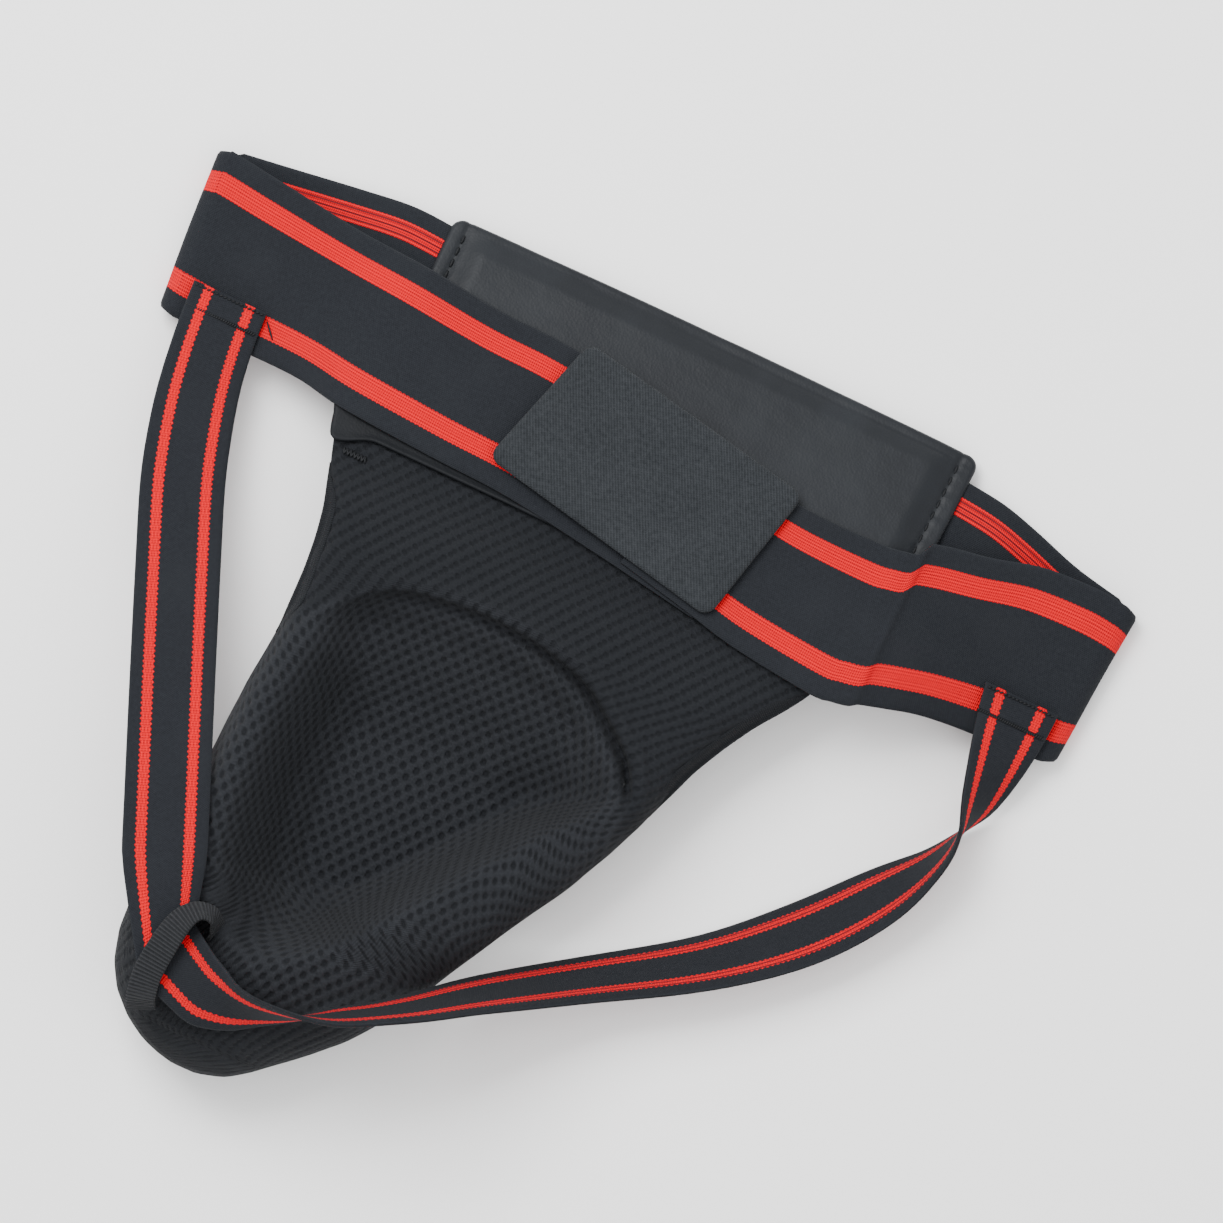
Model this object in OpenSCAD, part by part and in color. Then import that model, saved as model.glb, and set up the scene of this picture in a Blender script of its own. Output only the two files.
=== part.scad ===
// Groin protector: a moulded cup in a padded pouch, an abdominal pad, an elastic waistband with a
// hook-and-loop closure and one elastic leg strap held by a keeper at the tip of the cup.
// It lies on its front, as laid down for storage: X runs along the waistband, Y from the tip of the
// cup up to the waist, and Z off the table. The origin is under the middle of the outline.

/* [Abdominal pad] */
// Length of the pad along the waistband
pad_len = 198; // [190:1:202]
// Thickness of the pad with its covers
pad_t = 9.4; // [8:0.2:10]
// Depth of the pad from its top edge to the pouch
pad_depth = 87; // [84:1:87]
// Slope of the pad and the upper panel against the table
tilt = 15; // [14:0.5:16]

/* [Cup and pouch] */
// Height of the rim above the table at the tip of the cup
rim_tip_h = 53; // [48:1:56]
// Height of the lip between the bowl and the upper panel
lip_h = 41; // [38:1:42]
// Thickness of the outer cover
cover_t = 1.5; // [1:0.1:1.8]
// Wall of the hard cup
cup_t = 2.5; // [2:0.1:2.8]
// Thickness of the mesh lining
mesh_t = 1.6; // [1.2:0.1:1.8]

/* [Waistband] */
// Thickness of the waistband elastic
band_t = 1.8; // [1.2:0.1:2]
// Height of the near layer of elastic where the band folds back
fold_h = 11; // [10:0.5:12]
// Half the width of the folded band
fold_x = 176; // [175:0.5:178]

/* [Closing tab] */
// Thickness of the tab
tab_t = 1.4; // [1:0.1:1.6]
// Thickness of the hook field and of the loop patch
hook_t = 1; // [0.8:0.1:1.2]

/* [Leg strap] */
// Width of the leg strap
strap_w = 29; // [26:0.5:30]
// Thickness of the leg strap
strap_t = 1.8; // [1.2:0.1:2]
// Width of the keeper webbing
keeper_w = 10; // [8:0.5:12]

/* [Hidden] */

// Colours
leather_grey = [0.36, 0.37, 0.40];
elastic_black = [0.09, 0.09, 0.11];
mesh_black = [0.10, 0.10, 0.12];
tape_grey = [0.25, 0.25, 0.28];
foam_grey = [0.55, 0.55, 0.57];
shell_white = [0.85, 0.85, 0.83];
thread_black = [0.05, 0.05, 0.06];
webbing_grey = [0.22, 0.22, 0.24];

// Clearance between layers that lie on each other
gap = 0.3;
// Thickness of a cover sheet of the pad
sheet_t = 1.2;
// Top edge of the pad in the plan, and its left and right ends
pad_y = 152;
pad_x0 = -93;
pad_x1 = pad_x0 + pad_len;
// Rise of the pad's top edge in its middle
pad_arch = 0.8;
pad_corner_r = 4;
// Height of the pad's inner face at its top edge, and of that face's plane at any y
pad_z = pad_t * cos(tilt);
function plane_z(y) = pad_z + (pad_y - y) * tan(tilt);

// Smooth step from 0 to 1
function ease(t) = let (c = min(max(t, 0), 1)) c * c * (3 - 2 * c);
function mix(a, b, t) = a + (b - a) * t;
function unit(v) = v / max(norm(v), 0.000001);
function flat(rows) = [for (row = rows) each row];
function mean(pts) = [for (axis = [0:2]) [for (p = pts) p[axis]] * [for (p = pts) 1 / len(pts)]];

// Smooth curve through points: open or closed, steps samples per span
function spline_at(p0, p1, p2, p3, t) =
    0.5 * (2 * p1 + (p2 - p0) * t + (2 * p0 - 5 * p1 + 4 * p2 - p3) * t * t
        + (3 * p1 - p0 - 3 * p2 + p3) * t * t * t);
function curve(pts, steps) = let (last = len(pts) - 1) [
    for (i = [0:last - 1], k = [0:steps - 1])
        spline_at(pts[max(i - 1, 0)], pts[i], pts[i + 1], pts[min(i + 2, last)], k / steps),
    pts[last]];
function ring_curve(pts, steps) = let (n = len(pts)) [
    for (i = [0:n - 1], k = [0:steps - 1])
        spline_at(pts[(i + n - 1) % n], pts[i], pts[(i + 1) % n], pts[(i + 2) % n], k / steps)];

// Closed solid between two sheets of points with the same rows and columns.
// A closed sheet joins its last column to its first and is filled in to its centre.
module slab(top, bottom, closed = false) {
    rows = len(top);
    cols = len(top[0]);
    spans = closed ? cols : cols - 1;
    count = rows * cols + (closed ? 1 : 0);
    function at(i, j) = i * cols + j % cols;
    function with_centre(sheet) = closed ? concat(flat(sheet), [mean(sheet[0])]) : flat(sheet);
    grid = [for (i = [0:rows - 2], j = [0:spans - 1])
        each [[at(i, j), at(i, j + 1), at(i + 1, j + 1)], [at(i, j), at(i + 1, j + 1), at(i + 1, j)]]];
    upper = closed ? concat(grid, [for (j = [0:cols - 1]) [count - 1, at(0, j + 1), at(0, j)]]) : grid;
    lower = [for (f = upper) [count + f[2], count + f[1], count + f[0]]];
    outer_walls = [for (j = [0:spans - 1]) each wall(at(rows - 1, j + 1), at(rows - 1, j), count)];
    inner_walls = closed ? [] : [for (j = [0:spans - 1]) each wall(at(0, j), at(0, j + 1), count)];
    end_walls = closed ? [] : [for (i = [0:rows - 2]) each concat(
        wall(at(i + 1, 0), at(i, 0), count), wall(at(i, cols - 1), at(i + 1, cols - 1), count))];
    polyhedron(concat(with_centre(top), with_centre(bottom)),
        concat(upper, lower, outer_walls, inner_walls, end_walls));
}
function wall(a, b, count) = [[a, a + count, b + count], [a, b + count, b]];

// Flat strip of webbing between two edge curves, thickness t
module strip(left, right, t) {
    last = len(left) - 1;
    normals = [for (i = [0:last])
        let (along = left[min(i + 1, last)] + right[min(i + 1, last)]
            - left[max(i - 1, 0)] - right[max(i - 1, 0)])
        unit(cross(along, left[i] - right[i]))];
    slab([for (i = [0:last]) [right[i] + normals[i] * t / 2, left[i] + normals[i] * t / 2]],
        [for (i = [0:last]) [right[i] - normals[i] * t / 2, left[i] - normals[i] * t / 2]]);
}

// Edges of a strap that follows stations [x, y, z, roll, width]; side is -1 or 1
function strap_edge(stations, steps, side) =
    let (path = curve(stations, steps), last = len(path) - 1)
    [for (i = [0:last])
        let (along = unit(xyz(path[min(i + 1, last)]) - xyz(path[max(i - 1, 0)])),
            level = unit(cross([0, 0, 1], along)),
            across = level * cos(path[i][3]) + cross(along, level) * sin(path[i][3]))
        xyz(path[i]) + across * side * path[i][4] / 2];
function xyz(v) = [v[0], v[1], v[2]];

module strap(stations, steps, t) {
    strip(strap_edge(stations, steps, 1), strap_edge(stations, steps, -1), t);
}

// Plate on the sloping face of the pad: a plan outline, and the plate's bottom and top above the face
module on_slope(low, high) {
    translate([0, pad_y, pad_z])
        rotate([-tilt, 0, 0])
            translate([0, 0, low])
                linear_extrude(high - low)
                    children();
}
function slope_xy(p) = [p[0], (p[1] - pad_y) / cos(tilt)];

// ---- Abdominal pad ----
pad_bottom_y = pad_y - pad_depth;
module pad_outline(inset) {
    offset(pad_corner_r)
        offset(-pad_corner_r - inset)
            polygon([for (p = [
                [pad_x0, pad_bottom_y], [pad_x1 - 4, pad_bottom_y], [pad_x1, pad_y - 3],
                [mix(pad_x0, pad_x1, 0.75), pad_y - 0.3], [mix(pad_x0, pad_x1, 0.5), pad_y + pad_arch - 0.3],
                [mix(pad_x0, pad_x1, 0.25), pad_y - 0.6], [pad_x0, pad_y - 2.4]]) slope_xy(p)]);
}

module pad_inner_cover() {
    color(leather_grey)
        on_slope(-sheet_t, 0)
            pad_outline(0);
}

module pad_foam() {
    color(foam_grey)
        on_slope(-pad_t + sheet_t, -sheet_t)
            pad_outline(2);
}

module pad_outer_cover() {
    color(leather_grey)
        on_slope(-pad_t, -pad_t + sheet_t)
            pad_outline(0);
}

// Two rows of stitches at the right end of the pad and one at the left
stitch_len = 3.2;
stitch_pitch = 4.6;
stitch_w = 0.8;
module stitch_row(x, lean, count) {
    for (i = [0:count - 1])
        translate([x - lean * i * stitch_pitch, -7 - i * stitch_pitch])
            square([stitch_w, stitch_len], center = true);
}
module pad_end_stitching() {
    color(thread_black)
        on_slope(0, 0.6) {
            stitch_row(pad_x1 - 2.5, 0.04, 7);
            stitch_row(pad_x1 - 6.5, 0.06, 7);
            stitch_row(pad_x0 + 3, 0, 3);
        }
}

// ---- Pouch ----
// Outline of the pouch and mouth of the bowl, matched station by station, from the right side round
pouch_outline = [[52, -12], [60, 12], [73, 36], [86, 54], [83, 62.5], [60, 63], [28, 63], [0, 63],
    [-30, 63], [-60, 63], [-92, 63], [-97, 59], [-91, 42], [-88, 20], [-88, -2], [-90, -24],
    [-91, -48], [-92, -72], [-94, -96], [-94, -118], [-86, -137], [-71, -148.5], [-56, -152],
    [-40, -149], [-24, -136], [-8, -121], [5, -103], [15, -84], [27, -62], [40, -39]];
bowl_mouth = [[46, -4], [41, 6], [34, 12.5], [27, 18], [19, 23.5], [8, 28], [-6, 31], [-20, 32],
    [-33, 31.5], [-47, 29.5], [-58, 26], [-65, 21.5], [-71, 15], [-77, 4], [-79, -11], [-81, -29],
    [-81, -48], [-79, -68], [-75, -86], [-69, -99], [-61, -107], [-52, -110], [-43, -108],
    [-34, -102], [-25, -94], [-16, -84], [-7, -72], [2, -59], [14, -43], [30, -23]];
bowl_centre = [-24, -42];
pouch_steps = 2;
outline_ring = ring_curve(pouch_outline, pouch_steps);
mouth_ring = ring_curve(bowl_mouth, pouch_steps);

// Rings run from the centre of the bowl (0) over the mouth (1) to the outline (2)
floor_rings = [0.15, 0.32, 0.5, 0.65, 0.78, 0.87];
wall_rings = [0.87, 0.94, 1, 1.06];
roll_rings = [1.06, 1.2, 1.4, 1.6, 1.75, 1.88];
edge_rings = [1.88, 1.96, 2];
cup_edge = 1.6;

function ring_xy(r, i) = r <= 1 ? mix(bowl_centre, mouth_ring[i], r)
    : mix(mouth_ring[i], outline_ring[i], r - 1);
// 1 along the lip under the upper panel, 0 along the rim
function lipness(i) = ease((mouth_ring[i][1] - 2) / 20);
function crest_z(p) = mix(rim_tip_h, lip_h, ease((p[1] + 110) / 135));
function edge_z(i) = mix(27, plane_z(pad_bottom_y) - 1, ease((outline_ring[i][1] + 5) / 60));

// Underside of the pouch: flat on the table under the bowl, rising to the pad and to the outline
edge_stack = cover_t + mesh_t + gap;
function cover_z(r, i) =
    let (p = ring_xy(r, i), slope = 20 * ease((p[1] + 25) / 110),
        side = max(edge_z(i) - edge_stack - slope, 0))
    slope + side * pow(max(r - 0.72, 0) / 1.28, 1.7);

// Body side of the pouch: bowl floor, wall, lip or rolled rim, edge
layer_stack = cover_t + cup_t + mesh_t + 1.8;
function floor_z(r, i) = cover_z(r, i) + layer_stack;
function bowl_rise(r, i) = mix(ease((r - 0.5) / 0.5),
    0.52 * ease((r - 0.9) / 0.1) + 0.48 * ease((r - 0.3) / 0.62), lipness(i));
function roll_fall(r, i) = mix(pow(1 - pow(r - 1, 2.2), 0.5), 1 - pow(r - 1, 6), lipness(i));
function panel_z(p) = min(plane_z(p[1]), lip_h + 0.2);
function body_z(r, i) = let (p = ring_xy(r, i))
    r <= 1 ? mix(floor_z(r, i), crest_z(mouth_ring[i]), bowl_rise(r, i))
    : mix(edge_z(i), mix(crest_z(mouth_ring[i]), panel_z(p), lipness(i) * (r - 1)), roll_fall(r, i));

function layer(rings, stations, lift) = [for (r = rings)
    [for (i = stations) let (p = ring_xy(r, i)) [p[0], p[1], lift(r, i)]]];
function without_repeats(rings) = [for (k = [0:len(rings) - 1]) if (k == 0 || rings[k] > rings[k - 1]) rings[k]];
all_rings = without_repeats(concat(floor_rings, wall_rings, roll_rings, edge_rings));
cup_rings = [for (r = all_rings) if (r <= cup_edge) r];
stations = [for (i = [0:len(outline_ring) - 1]) i];
// Stations under the upper panel, and the ones round the rim
panel_stations = [for (i = stations) if (i >= 3 && i <= 26) i];
rim_stations = concat([for (i = stations) if (i >= 26) i], [0, 1, 2, 3]);

module pouch_layer(rings, span, low, high, closed = false) {
    slab(layer(rings, span, high), layer(rings, span, low), closed);
}

module cup_outer_cover() {
    color(leather_grey)
        pouch_layer(all_rings, stations, function (r, i) cover_z(r, i),
            function (r, i) cover_z(r, i) + cover_t, true);
}

function cup_low(r, i) = cover_z(r, i) + cover_t + gap;
module hard_cup() {
    color(shell_white)
        pouch_layer(cup_rings, stations, function (r, i) cup_low(r, i),
            function (r, i) cup_low(r, i) + cup_t, true);
}

// Foam fills the space between the cup, or past its edge the cover, and the mesh
function foam_low(r, i) = cup_low(r, i) + (r <= cup_edge ? cup_t + gap : 0);
function foam_high(r, i) = body_z(r, i) - mesh_t - gap;
module foam_part(rings, span, closed = false) {
    color(foam_grey)
        pouch_layer(rings, span, function (r, i) foam_low(r, i), function (r, i) foam_high(r, i), closed);
}

module bowl_foam() {
    foam_part(concat(floor_rings, [0.94]), stations, true);
}

foam_roll_rings = concat([1], roll_rings);
module rim_foam() {
    foam_part(foam_roll_rings, rim_stations);
}

module panel_foam() {
    foam_part(foam_roll_rings, [for (i = panel_stations) if (i > 3 && i < 26) i]);
}

module mesh_lining() {
    color(mesh_black)
        pouch_layer(all_rings, stations, function (r, i) body_z(r, i) - mesh_t,
            function (r, i) body_z(r, i), true);
}

// Smooth strip that finishes the upper edge of the mesh
edge_strip_t = 0.5;
edge_strip_w = 3.5;
module pocket_edge_strip() {
    color(leather_grey)
        on_slope(gap / 2, gap / 2 + edge_strip_t)
            translate([-88, slope_xy([0, pad_bottom_y + 0.2])[1]])
                square([172, edge_strip_w]);
}

// Binding sewn over the side edges of the mesh panel
module side_binding(span) {
    color(leather_grey)
        pouch_layer(edge_rings, span, function (r, i) body_z(r, i) + 0.1,
            function (r, i) body_z(r, i) + 0.9);
}
module side_binding_left() {
    side_binding([for (i = stations) if (i >= 22 && i <= 34) i]);
}
module side_binding_right() {
    side_binding([for (i = stations) if (i >= 0 && i <= 6) i]);
}

tack_size = [7, 2];
module corner_bar_tacks() {
    color(thread_black)
        for (x = [-90, 80])
            on_slope(0.3, 1.2)
                translate([x, slope_xy([0, pad_bottom_y - 4.5])[1]])
                    square(tack_size, center = true);
}

// ---- Waistband, front half: edges as [x, y, z], from the fold to the pad's end ----
far_z = band_t / 2;
fold_in = 8;
module front_band_left() {
    color(elastic_black)
        strip(curve([[-fold_x + fold_in, 139, far_z], [-150, 141.5, far_z + 0.6], [-125, 145, 3.2],
                [-107, 147, 5.6], [pad_x0 - gap, 146.5, 7.2]], 4),
            curve([[-fold_x + fold_in + 4, 79.5, far_z], [-150, 82, 1.5], [-125, 85, 6],
                [-107, 86.5, 14], [pad_x0 - gap, 86, 19]], 4), band_t);
}

module front_band_right() {
    color(elastic_black)
        strip(curve([[pad_x1 + gap, 141.5, 7.4], [118, 140, 5.2], [132, 136.5, 2.6],
                [150, 131, far_z + 0.4], [fold_x - fold_in, 127.5, far_z]], 4),
            curve([[pad_x1 + gap - 1, 82, 20], [118, 80.5, 14], [132, 77, 7],
                [150, 71.5, 2], [fold_x - fold_in - 5, 67.5, far_z]], 4), band_t);
}

// Turn of the band at a fold: a half ring between the far and the near layer
fold_r = (fold_h - far_z) / 2;
fold_turns = 10;
module waistband_fold(side, upper, lower, lower_shift) {
    function turn(y, shift) = [for (k = [0:fold_turns])
        let (a = -90 + 180 * k / fold_turns)
        [side * (fold_x - fold_in - shift + gap + cos(a) * (fold_in - gap - band_t / 2)),
            y, far_z + fold_r + fold_r * sin(a)]];
    color(elastic_black)
        strip(turn(upper, 0), turn(lower, lower_shift), band_t);
}
module waistband_fold_left() {
    waistband_fold(-1, 137.5, 78, 4);
}
module waistband_fold_right() {
    waistband_fold(1, 125.5, 67, 4.5);
}

// ---- Waistband, rear half ----
tab_seam_x = 10;
band_lift = band_t / 2 + gap + 0.6;
function near_z(y) = plane_z(y) + band_lift;
module rear_band_left() {
    color(elastic_black)
        strip(curve([[-fold_x + fold_in, 137, fold_h], [-150, 135, fold_h + 0.5], [-120, 131.5, 13.5],
                [-93, 129.5, near_z(129.5) + 0.5], [-65, 127, near_z(127)], [-30, 125.5, near_z(125.5)],
                [tab_seam_x - 2, 119, near_z(119)]], 4),
            curve([[-fold_x + fold_in + 4, 77.8, fold_h], [-150, 77, fold_h + 2], [-120, 77, 21],
                [-93, 73.5, near_z(73.5) + 1], [-65, 71.5, near_z(71.5)], [-30, 70.5, near_z(70.5)],
                [tab_seam_x - 8, 64, near_z(64)]], 4), band_t);
}

module rear_band_right() {
    color(elastic_black)
        strip(curve([[tab_seam_x + 4, 118, near_z(118)], [35, 113, near_z(113)], [60, 109.5, near_z(109.5)],
                [95, 111.5, near_z(111.5) + 0.3], [107, 118, near_z(118) + 0.3], [122, 121.5, 15],
                [140, 126, 12], [fold_x - fold_in, 127, fold_h]], 4),
            curve([[tab_seam_x - 2, 63, near_z(63)], [25, 60, near_z(60)], [50, 56, near_z(56) + 0.4],
                [83, 53.3, near_z(53.3) + 1], [97, 55, near_z(55) + 0.3], [108, 58, near_z(58) - 1.5], [122, 62, 23],
                [138, 64, 14], [fold_x - fold_in - 4.5, 65, fold_h]], 4), band_t);
}

// ---- Closing tab: plan outline, cut by the line that it is sewn along ----
tab_corner_r = 4;
tab_low = band_lift + band_t / 2 + gap;
tab_outline = [[-48, 78.5], [42.5, 60.5], [55, 112], [-33, 128.5]];
seam_foot = [tab_seam_x - 4, 62];
seam_head = [tab_seam_x + 10, 124];
module tab_shape(inset) {
    offset(tab_corner_r)
        offset(-tab_corner_r - inset)
            polygon([for (p = tab_outline) slope_xy(p)]);
}
// Everything on one side of the seam line; side is -1 for the free flap, 1 for the sewn part
module seam_side(side) {
    foot = slope_xy(seam_foot);
    head = slope_xy(seam_head);
    along = unit(head - foot);
    away = [along[1], -along[0]] * side;
    polygon([foot - along * 50 + away * gap, head + along * 50 + away * gap,
        head + along * 50 + away * 90, foot - along * 50 + away * 90]);
}

module hook_tab_base() {
    color(tape_grey)
        on_slope(tab_low, tab_low + hook_t * 2 + gap + tab_t)
            intersection() {
                tab_shape(0);
                seam_side(1);
            }
}

flap_low = tab_low + hook_t * 2 + gap;
module hook_tab_flap() {
    color(tape_grey)
        on_slope(flap_low, flap_low + tab_t)
            intersection() {
                tab_shape(0);
                seam_side(-1);
            }
}

module hook_field() {
    color(thread_black)
        on_slope(flap_low - hook_t, flap_low)
            intersection() {
                tab_shape(3);
                seam_side(-1);
            }
}

// The loop patch stops short of the seam, where the end of the rear band lies
patch_outline = [[-39, 81], [-2, 73.5], [7, 114], [-27, 120.5]];
module loop_patch() {
    color(webbing_grey)
        on_slope(tab_low - gap, tab_low - gap + hook_t)
            polygon([for (p = patch_outline) slope_xy(p)]);
}

// ---- Leg strap: stations [x, y, z, roll, width] chosen along its run ----
left_run = [[-147.5, 60, 18.5, 0, strap_w - 1], [-140, 33, 25, 0, strap_w], [-129, 6, 33, 0, strap_w],
    [-113, -32, 43, 0, strap_w], [-96, -72, 52, 0, strap_w], [-88, -91, 56, 0, strap_w]];
right_run = [[-60.4, -123.4, 58.6, 20, 27], [-50.4, -123.9, 60.4, 41, 26], [-40.4, -122.4, 62.2, 64, 25],
    [-29.1, -119, 63, 79, 24], [-19, -115, 63, 91, 23], [-2.3, -105.8, 60.2, 103, 23],
    [10.8, -97.6, 53, 112, 24], [28.3, -85.6, 36.6, 118, 26], [58, -67, 16, 122, 28],
    [92, -45, 13, 130, 28], [118, -22, 12, 140, 28], [136, 0, 11.5, 135, 27], [147, 17, 13, 112, 26],
    [152, 31, 14, 90, 25], [153.5, 44, 15, 55, 25]];
// Both runs end on one line under the keeper, and just below the rear band on each side
keeper_line = [[-70.5, -104, 57.5], [-80, -128, 57.5]];
left_top = [[-136.5, 76.2, fold_h + 7.6], [-163.8, 76.2, fold_h + 4]];
right_top = [[142, 63.6, 16.5], [164.4, 63.6, 13.5]];

module leg_strap_left() {
    color(elastic_black)
        strip(concat([left_top[0]], strap_edge(left_run, 4, 1), [keeper_line[0]]),
            concat([left_top[1]], strap_edge(left_run, 4, -1), [keeper_line[1]]), strap_t);
}
module leg_strap_right() {
    start = [for (p = keeper_line) p + [gap + 0.2, -gap / 2, 0]];
    color(elastic_black)
        strip(concat([start[0]], strap_edge(right_run, 4, 1), [right_top[0]]),
            concat([start[1]], strap_edge(right_run, 4, -1), [right_top[1]]), strap_t);
}

// Sewn ends of the strap on the outer face of the rear band, and the bar stitching across them
end_lift = band_t / 2 + gap + strap_t / 2;
module strap_end_left() {
    color(elastic_black)
        strip([[-164, 92, fold_h + 1 + end_lift], [-163.8, 77, fold_h + 1.9 + end_lift]],
            [[-137, 92, fold_h + 4.4 + end_lift], [-136.5, 77, fold_h + 5.6 + end_lift]], strap_t);
}
module strap_end_right() {
    color(elastic_black)
        strip([[138, 82, fold_h + 4.6 + end_lift], [141, 64.8, fold_h + 4.6 + end_lift]],
            [[164.8, 82, fold_h + 1 + end_lift], [164.6, 64.8, fold_h + 1 + end_lift]], strap_t);
}

bar_w = 1.6;
bar_lift = end_lift + strap_t / 2 + 0.8;
module strap_stitching_left() {
    color(thread_black)
        strip([[-163, 84 + bar_w, fold_h + 1.5 + bar_lift], [-138, 84 + bar_w, fold_h + 5 + bar_lift]],
            [[-163, 84, fold_h + 1.5 + bar_lift], [-138, 84, fold_h + 5 + bar_lift]], 0.8);
}
module strap_stitching_right() {
    color(thread_black)
        strip([[140, 72 + bar_w, fold_h + 4.6 + bar_lift], [163.5, 72 + bar_w, fold_h + 1.2 + bar_lift]],
            [[140, 72, fold_h + 4.6 + bar_lift], [163.5, 72, fold_h + 1.2 + bar_lift]], 0.8);
}

// ---- Keeper: ribbed webbing from the tip of the cup over the strap and back to the pouch ----
keeper_route = [[-63, -99.5, 56, 0, keeper_w], [-68, -99.5, 60, 0, keeper_w], [-74, -105, 61, 0, keeper_w],
    [-78, -115, 61.3, 0, keeper_w], [-80, -126, 61, 0, keeper_w], [-81, -133.5, 58.5, 0, keeper_w],
    [-80.5, -138, 53, 0, keeper_w], [-79.5, -140, 48.5, 0, keeper_w]];
keeper_t = 1.4;
module strap_keeper() {
    color(webbing_grey)
        strap(keeper_route, 3, keeper_t);
}

pad_inner_cover();
pad_foam();
pad_outer_cover();
pad_end_stitching();
mesh_lining();
bowl_foam();
rim_foam();
panel_foam();
hard_cup();
cup_outer_cover();
pocket_edge_strip();
side_binding_left();
side_binding_right();
corner_bar_tacks();
front_band_left();
front_band_right();
waistband_fold_left();
waistband_fold_right();
strap_keeper();
leg_strap_left();
leg_strap_right();
rear_band_left();
loop_patch();
strap_end_left();
strap_stitching_left();
rear_band_right();
hook_tab_base();
strap_end_right();
strap_stitching_right();
hook_tab_flap();
hook_field();
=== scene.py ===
"""Looks for the groin protector: soft goods, straps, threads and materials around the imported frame.

Lengths are in metres and in the row frame. MM turns the routes of the straps, which repeat the
part's own stations, from millimetres into metres.
"""
import math

import bpy
import numpy as np
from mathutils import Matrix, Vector, noise
from mathutils.bvhtree import BVHTree


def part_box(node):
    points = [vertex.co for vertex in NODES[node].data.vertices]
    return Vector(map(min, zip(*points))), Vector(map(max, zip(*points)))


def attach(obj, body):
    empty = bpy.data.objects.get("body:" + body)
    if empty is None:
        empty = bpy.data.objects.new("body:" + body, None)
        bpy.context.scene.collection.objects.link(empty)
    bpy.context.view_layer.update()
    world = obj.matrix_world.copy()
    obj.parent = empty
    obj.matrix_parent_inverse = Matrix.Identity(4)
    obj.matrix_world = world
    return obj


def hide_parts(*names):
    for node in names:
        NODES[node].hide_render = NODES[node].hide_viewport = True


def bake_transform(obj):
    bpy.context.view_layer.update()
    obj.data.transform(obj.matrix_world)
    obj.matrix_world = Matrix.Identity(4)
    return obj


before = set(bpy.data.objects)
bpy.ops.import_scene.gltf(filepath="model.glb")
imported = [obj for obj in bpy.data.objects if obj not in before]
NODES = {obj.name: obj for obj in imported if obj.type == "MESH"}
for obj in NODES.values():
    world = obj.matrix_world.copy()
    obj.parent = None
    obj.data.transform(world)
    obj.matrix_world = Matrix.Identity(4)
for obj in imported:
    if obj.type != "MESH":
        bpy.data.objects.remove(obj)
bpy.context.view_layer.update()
MM = 0.001
FLOOR_Z = -0.4 * MM

ROOT = "pouch_and_front"
REAR_LEFT = "rear_left"
REAR_RIGHT = "rear_right"

TILT = math.radians(15)
BAND_T = 1.8 * MM
STRAP_T = 1.7 * MM


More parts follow.
